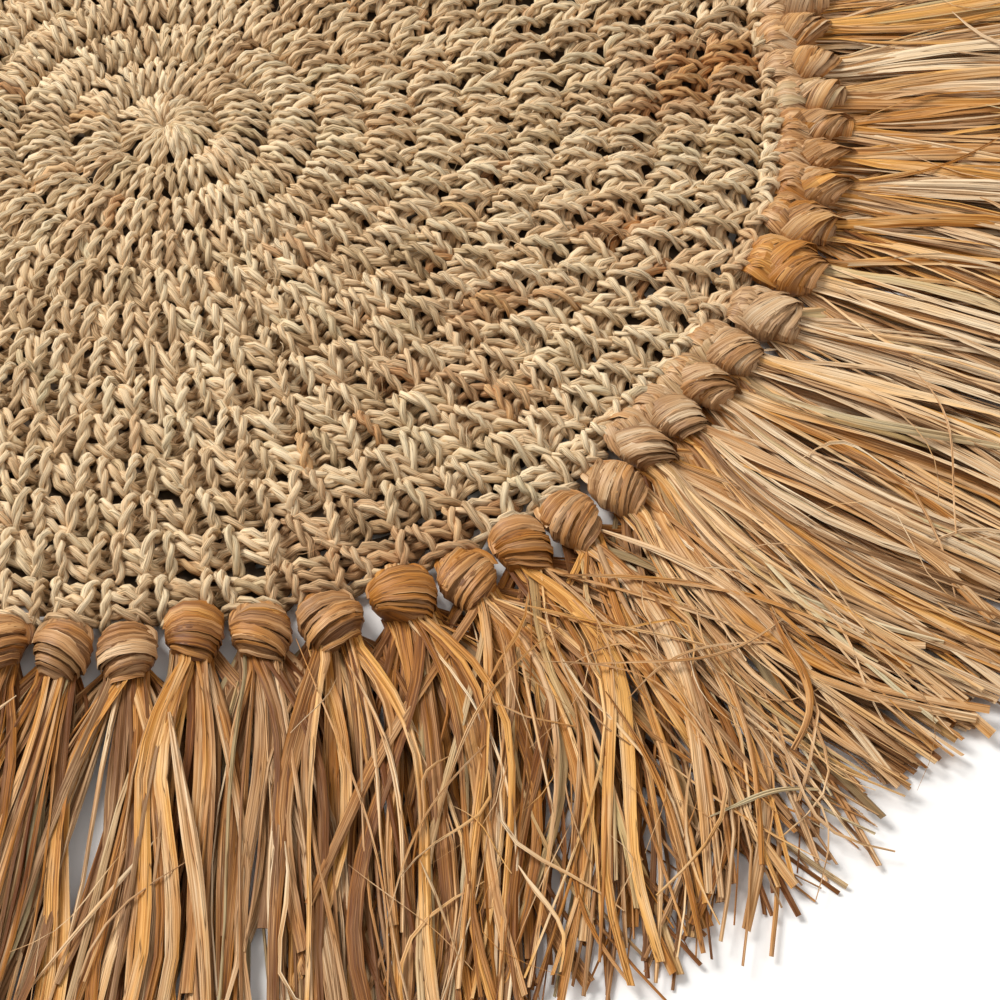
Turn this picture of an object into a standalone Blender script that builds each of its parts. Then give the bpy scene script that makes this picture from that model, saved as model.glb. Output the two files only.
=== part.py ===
"""Round crocheted placemat of twisted grass cord, with a fringe of knotted raffia, lying flat.

The mat is one flat cloth: a disc with a low ridge for each crocheted round and a ring of
open gaps just inside the edge round. Around it lie the tassels, each a wrapped knot whose
locks fan out over the surface. The knots crowd each other, so two neighbours are fused
into one piece.

Lengths are in metres and +Z is up. The origin is the middle of the mat's underside.
"""
import math

import bmesh
import bpy
import numpy as np
from mathutils import Matrix, Vector

# Driving dimensions
KNOT_RING = 0.170
CLEARANCE = 0.0004

# The crocheted mat
FULL_ROUNDS = 12
STITCHES_ADDED = 6
ROUND_WIDTH = 0.01275
ROUND_CREST = 0.0063
ROUND_VALLEY = 0.0041
CREST_PLACE = 0.58
EDGE_CREST = 0.0060
RIM_HEIGHT = 0.0038
TURN_STEPS = 48

# Open gaps between the feet of the stitches in the outer rounds
GAP_RINGS = (
    # round, stitches for each gap, width, depth
    (11, 2, 0.0044, 0.0020),
    (12, 1, 0.0052, 0.0022),
)
GAP_INSET = 0.0014
GAP_UNEVENNESS = 0.18

# Wrapped knots: those that show have their own place and girth, the rest are evenly spaced
SEEN_KNOTS = (
    # angle in degrees, girth
    (-100.1, 0.94), (-95.6, 1.04), (-90.6, 0.96), (-85.8, 0.95), (-80.8, 0.98),
    (-75.4, 1.08), (-69.6, 1.18), (-64.2, 0.90), (-59.5, 0.98), (-54.6, 1.00),
    (-49.9, 1.05), (-45.6, 1.00), (-41.4, 0.92), (-37.2, 1.02), (-32.9, 0.96),
    (-27.9, 1.05), (-22.1, 1.10), (-16.5, 1.00), (-12.1, 0.94), (-8.4, 0.92),
    (-5.0, 0.94), (-1.3, 1.00), (2.6, 0.96), (6.8, 1.04), (11.0, 0.98),
)
TASSELS = 78
HIDDEN_KNOT_SHIFT = 0.10
HIDDEN_KNOT_GIRTH = (0.92, 1.10)
KNOT_HALF_WIDTH_MOST = 0.0088
KNOT_OVERLAP = 0.0011
KNOT_SIDE_GAP = 0.00025
KNOT_SECTIONS = (
    # outwards from the ring of knots, part of the width, top, underside
    (-0.0089, 0.62, 0.0062, 0.0008),
    (-0.0045, 0.95, 0.0098, 0.0000),
    (0.0028, 1.00, 0.0104, 0.0000),
    (0.0090, 0.62, 0.0078, 0.0006),
)
KNOT_OUTLINE = (
    # part of the half width, part of the height
    (-0.62, 0.00), (0.62, 0.00), (1.00, 0.45), (0.58, 1.00), (-0.58, 1.00), (-1.00, 0.45),
)

# Locks of raffia that fan out from each knot
LOCKS_IN_TASSEL = 3
WIDE_TASSEL_DEGREES = 4.75
ROOT_SPACING = 0.0024
ROOT_WIDTH = 0.0019
LOCK_GAP = 0.0010
LOCK_SHARE = (0.75, 1.25)
LOCK_SECTIONS = (
    # radius, how far the fan has opened, underside, ridge height
    (0.173, 0.00, 0.0020, 0.0060),
    (0.205, 0.80, 0.0000, 0.0072),
    (0.245, 1.00, 0.0000, 0.0060),
)
TIP_RADIUS = 0.2815
TIP_UNEVENNESS = 0.0062
TIP_HEIGHT = 0.0030
RIDGE_UNEVENNESS = 0.18
RIDGE_LEAN = 0.2
SWAY_DEGREES = 1.2
SWAY_WAVES = (
    # waves round the mat, phase, part of the sway
    (3.0, 0.6, 1.0),
    (7.0, 2.1, 0.6),
)

SEED = 7
random = np.random.default_rng(SEED)


def clear_scene():
    """Remove every object that is already there."""
    for old in list(bpy.data.objects):
        bpy.data.objects.remove(old, do_unlink=True)


def make_collection(name):
    """A new collection of that name, linked to the scene."""
    collection = bpy.data.collections.new(name)
    bpy.context.scene.collection.children.link(collection)
    return collection


def make_material(name, colour, roughness):
    """A matt natural fibre: one colour and roughness, no metal."""
    material = bpy.data.materials.new(name)
    material.use_nodes = True
    shader = material.node_tree.nodes["Principled BSDF"]
    shader.inputs["Base Color"].default_value = (*colour, 1.0)
    shader.inputs["Roughness"].default_value = roughness
    shader.inputs["Metallic"].default_value = 0.0
    return material


def add_object(name, mesh, collection, material=None):
    """Put a mesh in a collection as an object of that name."""
    thing = bpy.data.objects.new(name, mesh)
    collection.objects.link(thing)
    if material:
        mesh.materials.append(material)
    return thing


def hide_cutter(thing):
    """Show a helper as wires only and keep it out of renders."""
    thing.display_type = "WIRE"
    thing.hide_render = True


def join_by(kind, target, helper):
    """Cut or join the target with a helper by an exact Boolean."""
    modifier = target.modifiers.new(kind.lower() + " " + helper.name, "BOOLEAN")
    modifier.operation = kind
    modifier.solver = "EXACT"
    modifier.object = helper


def lofted_mesh(name, shells):
    """A mesh of closed shells, each a list of rings of points joined side by side."""
    points = []
    faces = []
    for rings in shells:
        first = len(points)
        count = len(rings[0])
        for ring in rings:
            points.extend(ring)
        for step in range(len(rings) - 1):
            for side in range(count):
                here = first + step * count + side
                beside = first + step * count + (side + 1) % count
                faces.append((here, here + count, beside + count, beside))
        faces.append(tuple(first + side for side in range(count)))
        last = first + (len(rings) - 1) * count
        faces.append(tuple(last + side for side in reversed(range(count))))
    mesh = bpy.data.meshes.new(name)
    mesh.from_pydata(points, [], faces)
    face_outwards(mesh)
    return mesh


def face_outwards(mesh):
    """Turn every shell's faces to point out of it."""
    work = bmesh.new()
    work.from_mesh(mesh)
    bmesh.ops.recalc_face_normals(work, faces=work.faces)
    work.to_mesh(mesh)
    work.free()


def polar(radius, degrees, height, aside=0.0):
    """The point at a radius, an angle and a height, moved aside along the circle."""
    angle = math.radians(degrees)
    x = radius * math.cos(angle) - aside * math.sin(angle)
    y = radius * math.sin(angle) + aside * math.cos(angle)
    return (x, y, height)


def mat_profile():
    """Half section of the mat: over the ridges to the rim, down it and back underneath."""
    profile = [(0.0, ROUND_VALLEY)]
    for number in range(FULL_ROUNDS):
        inner = number * ROUND_WIDTH
        profile.append((inner + CREST_PLACE * ROUND_WIDTH, ROUND_CREST))
        profile.append((inner + ROUND_WIDTH, ROUND_VALLEY))
    last = FULL_ROUNDS * ROUND_WIDTH
    rim = KNOT_RING + KNOT_SECTIONS[0][0] - CLEARANCE
    profile.append((0.5 * (last + rim), EDGE_CREST))
    profile.append((rim, RIM_HEIGHT))
    profile.append((rim, 0.0))
    profile.append((0.0, 0.0))
    return profile


def make_mat(parts, cutters, material):
    """The crocheted cloth: its section turned about the middle, with the gaps cut through."""
    profile = mat_profile()
    mesh = bpy.data.meshes.new("mat")
    links = [(index, index + 1) for index in range(len(profile) - 1)]
    mesh.from_pydata([(radius, 0.0, height) for radius, height in profile], links, [])
    mat = add_object("mat", mesh, parts, material)
    turn = mat.modifiers.new("turn", "SCREW")
    turn.axis = "Z"
    turn.steps = TURN_STEPS
    turn.render_steps = TURN_STEPS
    turn.use_merge_vertices = True
    turn.merge_threshold = 0.00005
    turn.use_smooth_shade = False
    join_by("DIFFERENCE", mat, make_gap_cutter(cutters))


def make_gap_cutter(cutters):
    """One upright block for each gap, in rings at the feet of the outer rounds."""
    work = bmesh.new()
    for round_number, stitches, width, depth in GAP_RINGS:
        count = STITCHES_ADDED * round_number // stitches
        radius = round_number * ROUND_WIDTH - GAP_INSET
        for number in range(count):
            stretch = 1.0 + GAP_UNEVENNESS * random.uniform(-1.0, 1.0)
            angle = 360.0 * (number + 0.5) / count
            place = Matrix.Translation(Vector(polar(radius, angle, 0.5 * ROUND_CREST)))
            turn = Matrix.Rotation(math.radians(angle), 4, "Z")
            size = Matrix.Diagonal((depth, width * stretch, 3.0 * ROUND_CREST, 1.0))
            bmesh.ops.create_cube(work, size=1.0, matrix=place @ turn @ size)
    mesh = bpy.data.meshes.new("gap_cutter")
    work.to_mesh(mesh)
    work.free()
    cutter = add_object("gap_cutter", mesh, cutters)
    hide_cutter(cutter)
    return cutter


def knot_places():
    """Angle and girth of every knot, in order round the mat."""
    first = SEEN_KNOTS[0][0]
    last = SEEN_KNOTS[-1][0]
    hidden = TASSELS - len(SEEN_KNOTS)
    pitch = (360.0 + first - last) / (hidden + 1)
    places = list(SEEN_KNOTS)
    for number in range(hidden):
        shift = HIDDEN_KNOT_SHIFT * random.uniform(-1.0, 1.0)
        angle = last + pitch * (number + 1 + shift)
        places.append((angle, random.uniform(*HIDDEN_KNOT_GIRTH)))
    return places


def angles_between(places):
    """Degrees from each knot to the next one round the mat."""
    angles = np.array([angle for angle, girth in places])
    return np.mod(np.roll(angles, -1) - angles, 360.0)


def knot_rings(angle, girth, left, right):
    """Rings of one knot: from the mat's rim over its widest wraps to its neck."""
    rings = []
    for outwards, part_of_width, top, under in KNOT_SECTIONS:
        height = under + (top - under) * girth
        ring = []
        for across, up in KNOT_OUTLINE:
            reach = right if across > 0.0 else left
            aside = across * reach * part_of_width
            level = under + (height - under) * up
            ring.append(polar(KNOT_RING + outwards, angle, level, aside))
        rings.append(ring)
    return rings


def sway(degrees, radius):
    """How far the fringe leans round the mat there: slow waves that grow outwards."""
    angle = math.radians(degrees)
    wave = sum(part * math.sin(count * angle + phase) for count, phase, part in SWAY_WAVES)
    root = LOCK_SECTIONS[0][0]
    outwards = (radius - root) / (TIP_RADIUS - root)
    return SWAY_DEGREES * wave * max(outwards, 0.0) ** 2


def lock_rings(angle, root_aside, slot_from, slot_to, tip_radius):
    """Rings of one lock: three-sided, from inside its knot to its tip on the surface."""
    sections = list(LOCK_SECTIONS)
    sections.append((tip_radius, 1.0, 0.0, TIP_HEIGHT))
    ridge = 1.0 + RIDGE_UNEVENNESS * random.uniform(-1.0, 1.0)
    lean = 0.5 + RIDGE_LEAN * random.uniform(-1.0, 1.0)
    rings = []
    for radius, opened, under, top in sections:
        height = top if opened == 0.0 else top * ridge
        feet = []
        for slot, side in ((slot_from, 1.0), (slot_to, -1.0)):
            root = angle + math.degrees((root_aside - 0.5 * side * ROOT_WIDTH) / radius)
            turned = root + (slot + sway(slot, radius) - root) * opened
            feet.append(Vector(polar(radius, turned, under, 0.5 * side * LOCK_GAP * opened)))
        crest = feet[0].lerp(feet[1], lean)
        crest.z = height
        rings.append([feet[0], feet[1], crest])
    return rings


def locks_of_tassel(angle, slot_from, slot_to, count):
    """All locks of one tassel, side by side across its part of the fringe."""
    shares = np.cumsum(random.uniform(*LOCK_SHARE, count))
    shares = np.concatenate(([0.0], shares / shares[-1]))
    length = random.uniform(-0.5, 0.5)
    shells = []
    for number in range(count):
        root_aside = (number - 0.5 * (count - 1)) * ROOT_SPACING
        low = slot_from + (slot_to - slot_from) * shares[number]
        high = slot_from + (slot_to - slot_from) * shares[number + 1]
        tip = TIP_RADIUS + TIP_UNEVENNESS * (length + random.uniform(-0.5, 0.5))
        shells.append(lock_rings(angle, root_aside, low, high, tip))
    return shells


def knot_reach(step, joined):
    """How far a knot reaches aside towards its neighbour, over it if they are joined."""
    halfway = 0.5 * math.radians(step) * KNOT_RING
    if joined:
        return halfway + KNOT_OVERLAP
    return min(halfway - KNOT_SIDE_GAP, KNOT_HALF_WIDTH_MOST)


def make_tassels(parts, cutters, material):
    """The fringe: two neighbouring tassels fused at their knots for each object."""
    places = knot_places()
    steps = angles_between(places)
    for number in range(0, TASSELS, 2):
        name = "tassels_%02d" % (number // 2 + 1)
        knots = []
        locks = []
        for index in (number, number + 1):
            angle, girth = places[index]
            before = steps[index - 1]
            after = steps[index]
            left = knot_reach(before, index != number)
            right = knot_reach(after, index == number)
            knots.append(knot_rings(angle, girth, left, right))
            wide = 0.5 * (before + after) > WIDE_TASSEL_DEGREES
            count = LOCKS_IN_TASSEL + (1 if wide else 0)
            locks += locks_of_tassel(angle, angle - 0.5 * before, angle + 0.5 * after, count)
        pair = add_object(name, lofted_mesh(name, knots[:1]), parts, material)
        second = add_object(name + "_second_knot", lofted_mesh(name, knots[1:]), cutters)
        fan = add_object(name + "_locks", lofted_mesh(name, locks), cutters)
        for helper in (second, fan):
            hide_cutter(helper)
            join_by("UNION", pair, helper)


def main():
    """Build the whole placemat."""
    clear_scene()
    parts = make_collection("raffia_placemat")
    cutters = make_collection("helpers")
    cord = make_material("twisted_cord", (0.56, 0.42, 0.26), 0.85)
    raffia = make_material("raffia_ribbon", (0.62, 0.41, 0.19), 0.70)
    make_mat(parts, cutters, cord)
    make_tassels(parts, cutters, raffia)


main()
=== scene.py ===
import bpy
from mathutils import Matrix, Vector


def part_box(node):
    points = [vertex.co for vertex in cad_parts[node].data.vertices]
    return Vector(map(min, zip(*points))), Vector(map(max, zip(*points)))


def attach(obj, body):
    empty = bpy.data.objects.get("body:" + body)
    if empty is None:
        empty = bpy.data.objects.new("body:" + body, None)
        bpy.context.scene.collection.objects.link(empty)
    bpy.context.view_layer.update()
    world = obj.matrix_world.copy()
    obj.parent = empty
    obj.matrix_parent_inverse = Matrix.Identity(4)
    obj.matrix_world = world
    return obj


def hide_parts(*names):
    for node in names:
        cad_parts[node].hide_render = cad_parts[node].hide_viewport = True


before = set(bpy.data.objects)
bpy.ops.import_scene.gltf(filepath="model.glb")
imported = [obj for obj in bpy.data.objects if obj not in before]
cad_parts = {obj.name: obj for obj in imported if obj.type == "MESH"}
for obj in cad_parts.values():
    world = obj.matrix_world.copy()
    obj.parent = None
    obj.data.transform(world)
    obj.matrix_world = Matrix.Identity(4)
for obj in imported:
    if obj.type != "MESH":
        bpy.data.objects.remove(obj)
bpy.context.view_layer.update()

import math

import bpy
import numpy as np
from mathutils import Matrix, Vector

# The looks of a round crocheted placemat: twisted grass cord worked in rounds, edged with
# knotted raffia tassels. Every strand is an outline carried along a smooth path. Lengths are
# in metres and angles in radians, unless a name or the heading of a table says otherwise.

MM = 0.001
MM_PER_M = 1000.0
CM_PER_M = 100.0
FULL_TURN = 2.0 * math.pi
TINY = 1e-12

# The mat, with the stitches worked in each full round from the middle outwards
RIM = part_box("mat")[1][0]
ROUND_WIDTH = 0.01275
STITCHES = (13, 22, 29, 35, 40, 45, 49, 54, 58, 63, 68, 74)
FULL_ROUNDS = len(STITCHES)
EDGE_FROM = 0.1543
EDGE_WIDTH = 0.0092

# The rounds from this one on, counted from 0, are worked more openly
OPEN_FROM = 9

# Rings that the knots' middles and the fringe's tips lie on, and the fringe's usual length
KNOT_RING = 0.170
TIP_RING = 0.280
FRINGE_LENGTH = 0.1

# The lowest that a strand may lie over the table
FLOOR_GAP = 0.05 * MM

# Twisted cord: two plies laid round each other
PLY_RADIUS = 1.03 * MM
PLY_OFFSET = 0.86 * MM
PLY_PITCH = 8.4 * MM

# How the crochet is split into pieces
CROCHET_PIECES = (
    # name, its first round, the round after its last
    ("crochet_middle", 0, 6),
    ("crochet_rounds", 6, OPEN_FROM),
    ("crochet_outer", OPEN_FROM, FULL_ROUNDS),
)

# Tassels in order round the mat; those that show have their own place, lie and finish
TASSELS = 78
TASSELS_IN_GROUP = 6
TASSELS_IN_NODE = 2
SEEN_TASSELS = (
    # degrees round the mat, girth, mm outwards, mm that the tips lean aside, mm of bow,
    # disorder, warmth of the knot, warmth of the fringe, mm from the middle to the tips
    (-100.1, 0.94, 4.0, -12.0, 0.0, 0.15, 0.60, 0.45, 282.0),
    (-95.6, 1.04, 5.0, -15.0, 0.0, 0.15, 0.42, 0.62, 282.0),
    (-90.6, 0.96, 5.0, -15.0, 1.0, 0.12, 0.40, 0.28, 282.0),
    (-85.8, 0.95, 0.5, -13.0, 0.0, 0.18, 0.85, 0.60, 282.0),
    (-80.8, 0.98, 2.7, -10.0, 1.0, 0.20, 0.58, 0.30, 283.0),
    (-75.4, 1.08, 4.0, -19.0, 2.0, 0.30, 0.58, 0.55, 285.0),
    (-69.6, 1.18, 3.0, -29.0, 5.0, 0.70, 0.85, 0.88, 285.0),
    (-64.2, 0.90, 4.0, -34.0, 8.0, 0.90, 0.75, 0.85, 284.0),
    (-59.5, 0.98, 2.5, -30.0, 8.0, 0.95, 0.78, 0.90, 283.0),
    (-54.6, 1.00, 2.5, -13.0, 1.0, 0.90, 0.50, 0.70, 279.0),
    (-49.9, 1.05, 2.0, -3.0, -7.0, 0.50, 0.40, 0.31, 275.0),
    (-45.6, 1.00, -3.5, 3.0, -6.0, 0.40, 0.18, 0.34, 275.0),
    (-41.4, 0.92, -4.0, 4.0, -4.0, 0.35, 0.12, 0.31, 277.0),
    (-37.2, 1.02, -4.0, 2.0, -2.0, 0.25, 0.30, 0.31, 280.0),
    (-32.9, 0.96, -4.5, 0.0, 0.0, 0.25, 0.18, 0.28, 281.0),
    (-27.9, 1.05, -1.0, 1.0, 0.0, 0.20, 0.04, 0.20, 282.0),
    (-22.1, 1.10, -2.0, 0.0, 0.0, 0.20, 0.85, 0.20, 282.0),
    (-16.5, 1.00, -3.0, -3.0, 0.0, 0.30, 0.60, 0.45, 282.0),
    (-12.1, 0.94, -2.0, 0.0, 0.0, 0.25, 0.55, 0.50, 282.0),
    (-8.4, 0.92, -3.5, 2.0, 0.0, 0.15, 0.50, 0.42, 282.0),
    (-5.0, 0.94, -3.0, 2.0, 0.0, 0.15, 0.52, 0.38, 282.0),
    (-1.3, 1.00, -4.0, 1.0, 0.0, 0.12, 0.28, 0.30, 282.0),
    (2.6, 0.96, -5.0, 0.0, 0.0, 0.15, 0.35, 0.40, 282.0),
    (6.8, 1.04, -5.0, 0.0, 0.0, 0.15, 0.50, 0.38, 282.0),
    (11.0, 0.98, -3.0, 0.0, 0.0, 0.15, 0.18, 0.25, 282.0),
)

# Random numbers: one seed for all, and a label for each kind of piece
SEED = 23
(TASSEL_DICE, ROUND_DICE, EDGE_DICE, WINDING_DICE, BODY_DICE, WRAP_DICE, HOOK_DICE,
 FRINGE_DICE, LONG_STRAY_DICE, STRAY_DICE, HAIR_DICE) = range(1, 12)


def dice(*labels):
    """Random numbers that belong to one piece and are the same each run."""
    return np.random.default_rng((SEED, *labels))


def spread_of(rng, size, amount):
    """Even random numbers between minus and plus the amount."""
    return rng.uniform(-amount, amount, size)


# Strands

def path_weights(count, samples, ease):
    """Catmull-Rom weights: each sample is a cubic mix of the four points nearest to it.

    A sample at a part s of the samples lies at the part s ** ease of the points, so an ease
    under 1 puts fewer samples near the start.
    """
    place = (count - 1.0) * np.linspace(0.0, 1.0, samples) ** ease
    first = np.minimum(place.astype(int), count - 2)
    part = place - first
    square = part * part
    cube = square * part
    basis = np.stack([
        -0.5 * part + square - 0.5 * cube,
        1.0 - 2.5 * square + 1.5 * cube,
        0.5 * part + 2.0 * square - 1.5 * cube,
        -0.5 * square + 0.5 * cube,
    ], axis=1)
    weights = np.zeros((samples, count))
    rows = np.arange(samples)
    for step in range(4):
        np.add.at(weights, (rows, np.clip(first + step - 1, 0, count - 1)), basis[:, step])
    return weights


def smooth_paths(controls, samples, ease=1.0):
    """Smooth paths through rows of control points: weights times points."""
    return np.einsum("sk,nkc->nsc", path_weights(controls.shape[1], samples, ease), controls)


def unit(vectors):
    """Vectors divided by their length."""
    return vectors / np.maximum(np.linalg.norm(vectors, axis=-1, keepdims=True), TINY)


def path_frames(paths, guide):
    """Across and up along each path: across is the guide made square to the path."""
    along = unit(np.gradient(paths, axis=1))
    guide = np.broadcast_to(guide, paths.shape)
    across = unit(guide - np.sum(guide * along, axis=-1, keepdims=True) * along)
    return across, np.cross(along, across)


def path_lengths(paths):
    """Length along each path up to each of its points: its steps added up."""
    steps = np.linalg.norm(np.diff(paths, axis=1), axis=-1)
    return np.concatenate([np.zeros((len(paths), 1)), np.cumsum(steps, axis=1)], axis=1)


def level_guide(paths):
    """Level and square to each path, to its left."""
    along = np.gradient(paths, axis=1)
    return np.stack([-along[..., 1], along[..., 0], np.zeros(along.shape[:-1])], axis=-1)


NO_ROLL = np.zeros((1, 1))


def carry_outline(paths, across, up, outline, width, height, roll):
    """Rings along paths: path + x across + y up, the outline scaled and turned by the roll."""
    x = outline[:, 0] * width[..., None]
    y = outline[:, 1] * height[..., None]
    cos = np.cos(roll)[..., None]
    sin = np.sin(roll)[..., None]
    flat = (x * cos - y * sin)[..., None] * across[:, :, None, :]
    tall = (x * sin + y * cos)[..., None] * up[:, :, None, :]
    return paths[:, :, None, :] + flat + tall


def strand_block(rings, along, across, finish_and_shading):
    """Strands as rings of points, with centimetres along, millimetres across, and finish.

    The finish is one row of four for each strand, or an array that fits the rings. Its tone
    carries the painted light and shade.
    """
    count, samples, sides, _ = rings.shape
    if along.ndim == 2:
        along = along[:, :, None]
    place = np.empty((count, samples, sides, 2))
    place[..., 0] = along * CM_PER_M
    place[..., 1] = across * MM_PER_M
    if finish_and_shading.ndim == 2:
        finish_and_shading = finish_and_shading[:, None, None, :]
    finish_and_shading = np.broadcast_to(finish_and_shading, (count, samples, sides, 4))
    return {"rings": rings, "place": place, "finish_and_shading": finish_and_shading}


def ribbon_block(paths, guide, outline, width, fold, roll, finish_and_shading):
    """Closed ribbons: an outline of a half width and a fold height along each path."""
    across, up = path_frames(paths, guide)
    rings = carry_outline(paths, across, up, outline, width, fold, roll)
    return strand_block(rings, path_lengths(paths), outline[:, 0] * width[..., None], finish_and_shading)


def block_faces(block, first):
    """Side faces between neighbouring rings of each strand, and a cap at both its ends."""
    count, samples, sides, _ = block["rings"].shape
    index = first + np.arange(count * samples * sides).reshape(count, samples, sides)
    beside = np.roll(index, -1, axis=2)
    quads = np.stack([
        index[:, :-1], beside[:, :-1], beside[:, 1:], index[:, 1:],
    ], axis=-1).reshape(-1, 4)
    return quads, np.concatenate([index[:, 0, ::-1], index[:, -1]])


def joined(blocks, key):
    """The rows of one array of every block, one after another."""
    return np.concatenate([block[key].reshape(-1, block[key].shape[-1]) for block in blocks])


def place_object(name, mesh, material):
    """An object at the origin for a mesh, with its material."""
    mesh.materials.append(material)
    placed = bpy.data.objects.new(name, mesh)
    bpy.context.scene.collection.objects.link(placed)
    return placed


def build_piece(name, blocks, material, sharp_degrees=None):
    """One mesh from blocks of strands, written in whole arrays and kept off the table.

    The map fibre_place holds each point's place along and across its strand, and the
    attribute fibre holds its finish, with the painted light and shade in its tone.
    """
    first = 0
    groups = []
    for block in blocks:
        groups += block_faces(block, first)
        first += block["rings"].size // 3
    points = joined(blocks, "rings")
    points[:, 2] = np.maximum(points[:, 2], FLOOR_GAP)
    loops = np.concatenate([group.ravel() for group in groups])
    totals = np.concatenate([np.full(len(group), group.shape[1]) for group in groups])
    starts = np.concatenate([[0], np.cumsum(totals)[:-1]])
    mesh = bpy.data.meshes.new(name)
    mesh.vertices.add(len(points))
    mesh.vertices.foreach_set("co", points.astype(np.float32).ravel())
    mesh.loops.add(len(loops))
    mesh.loops.foreach_set("vertex_index", loops.astype(np.int32))
    mesh.polygons.add(len(totals))
    mesh.polygons.foreach_set("loop_start", starts.astype(np.int32))
    mesh.polygons.foreach_set("use_smooth", np.ones(len(totals), dtype=bool))
    layer = mesh.uv_layers.new(name="fibre_place")
    layer.data.foreach_set("uv", joined(blocks, "place")[loops].astype(np.float32).ravel())
    shade = mesh.attributes.new("fibre", "FLOAT_COLOR", "POINT")
    shade.data.foreach_set("color", joined(blocks, "finish_and_shading").astype(np.float32).ravel())
    mesh.update(calc_edges=True)
    mesh.validate()
    if sharp_degrees is not None:
        mesh.set_sharp_from_angle(angle=math.radians(sharp_degrees))
    return place_object(name, mesh, material)


# Facts of the tassels

def all_tassels():
    """Every tassel's row of facts, in order round the mat; those out of sight vary alike.

    The hidden ones are spaced evenly, give or take a tenth of their spacing. Each fact is a
    sine wave round the mat, an even random number, or the two added.
    """
    rng = dice(TASSEL_DICE)
    seen = np.array(SEEN_TASSELS)
    hidden = TASSELS - len(seen)
    pitch = (360.0 + seen[0, 0] - seen[-1, 0]) / (hidden + 1)
    degrees = seen[-1, 0] + pitch * (np.arange(hidden) + 1.0 + spread_of(rng, hidden, 0.10))
    angle = np.radians(degrees)
    girth = rng.uniform(0.92, 1.10, hidden)
    outwards = spread_of(rng, hidden, 3.0)
    lean = 12.0 * np.sin(5.0 * angle + 1.0) + spread_of(rng, hidden, 5.0)
    bow = spread_of(rng, hidden, 5.0)
    disorder = 0.15 + 0.55 * np.clip(np.sin(3.0 * angle + 2.2), 0.0, 1.0) ** 2
    knot_warmth = rng.uniform(0.20, 0.85, hidden)
    fringe_warmth = 0.42 + 0.16 * np.sin(4.0 * angle) + spread_of(rng, hidden, 0.16)
    tips = 282.0 + 3.0 * np.sin(6.0 * angle) + spread_of(rng, hidden, 2.0)
    rest = np.stack([degrees, girth, outwards, lean, bow, disorder, knot_warmth,
                     fringe_warmth, tips], axis=1)
    return np.concatenate([seen, rest])


def angles_before(angles):
    """Angle from each one back to the one before it, round the circle."""
    return np.mod(angles - np.roll(angles, 1), FULL_TURN)


FACTS = all_tassels()
KNOT_ANGLES = np.radians(FACTS[:, 0])
GIRTH, OUTWARDS, LEAN, BOW, DISORDER, KNOT_WARMTH, FRINGE_WARMTH, TIPS = FACTS[:, 1:].T

# Room to either side of each knot: half way to its neighbour and a little into it
BEFORE_KNOT = angles_before(KNOT_ANGLES)
AFTER_KNOT = np.roll(BEFORE_KNOT, -1)
KNOT_PRESS = 0.5 * MM
KNOT_HALF_MOST = 9.6 * MM
KNOT_LEFT = np.minimum(0.5 * BEFORE_KNOT * KNOT_RING + KNOT_PRESS, KNOT_HALF_MOST)
KNOT_RIGHT = np.minimum(0.5 * AFTER_KNOT * KNOT_RING + KNOT_PRESS, KNOT_HALF_MOST)

# The angle round the mat that each tassel has to itself
PITCH = (KNOT_LEFT + KNOT_RIGHT) / KNOT_RING

# A knot turns a little towards the side that its tips lean to
KNOT_TURN_SHARE = 0.3
KNOT_TURN_MOST = 0.06
KNOT_TURN = np.clip(KNOT_TURN_SHARE * LEAN * MM / FRINGE_LENGTH, -KNOT_TURN_MOST, KNOT_TURN_MOST)

# Knots that are drawn in over the edge round
DRAWN_IN = OUTWARDS < -0.5

# Painted light: tassels are painted paler towards the right; the sides out of sight are like the
# front
PAINTED_RIGHT_LIGHT = np.maximum(np.cos(KNOT_ANGLES), -0.1)


# Lie of the mat

# Where the mat's middle lies, as x and y from the middle of its rim
MIDDLE_SHIFT = (0.0022, -0.0070)

# Waves of the rounds inwards and outwards, scaled down nearer to the middle than WANDER_FROM
WANDER_FROM = 0.02
WANDER = (
    # mm, waves round the mat, their slant for each metre outwards, where they start
    (0.9, 3.0, 40.0, 0.7),
    (0.6, 7.0, -60.0, 2.0),
)

# The least radius of a cord's path, and the least that a shift aside is divided by to give
# an angle
MIDDLE_HOLE = 1.2 * MM
TURNING_LEAST = 4.0 * MM


def settle(points):
    """The hand-made unevenness: the middle lies aside, and rounds wander a little.

    With inside = 1 - (radius / rim)², the shift is inside² of the middle's, and the radius
    grows by inside times the waves.
    """
    x, y = points[..., 0], points[..., 1]
    radius = np.hypot(x, y)
    angle = np.arctan2(y, x)
    inside = np.clip(1.0 - (radius / RIM) ** 2, 0.0, 1.0)
    wander = sum(far * MM * np.sin(waves * angle + slant * radius + start)
                 for far, waves, slant, start in WANDER)
    scale = 1.0 + inside * wander / np.maximum(radius, WANDER_FROM)
    moved = points.copy()
    moved[..., 0] = x * scale + MIDDLE_SHIFT[0] * inside ** 2
    moved[..., 1] = y * scale + MIDDLE_SHIFT[1] * inside ** 2
    return moved


def ring_points(radius, angle, height, aside):
    """Points at a radius and an angle, moved aside along the circle, settled on the mat."""
    radius = np.maximum(radius, MIDDLE_HOLE)
    turned = angle + aside / np.maximum(radius, TURNING_LEAST)
    points = np.stack([radius * np.cos(turned), radius * np.sin(turned), height], axis=-1)
    return settle(points)


# Twisted cord

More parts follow.
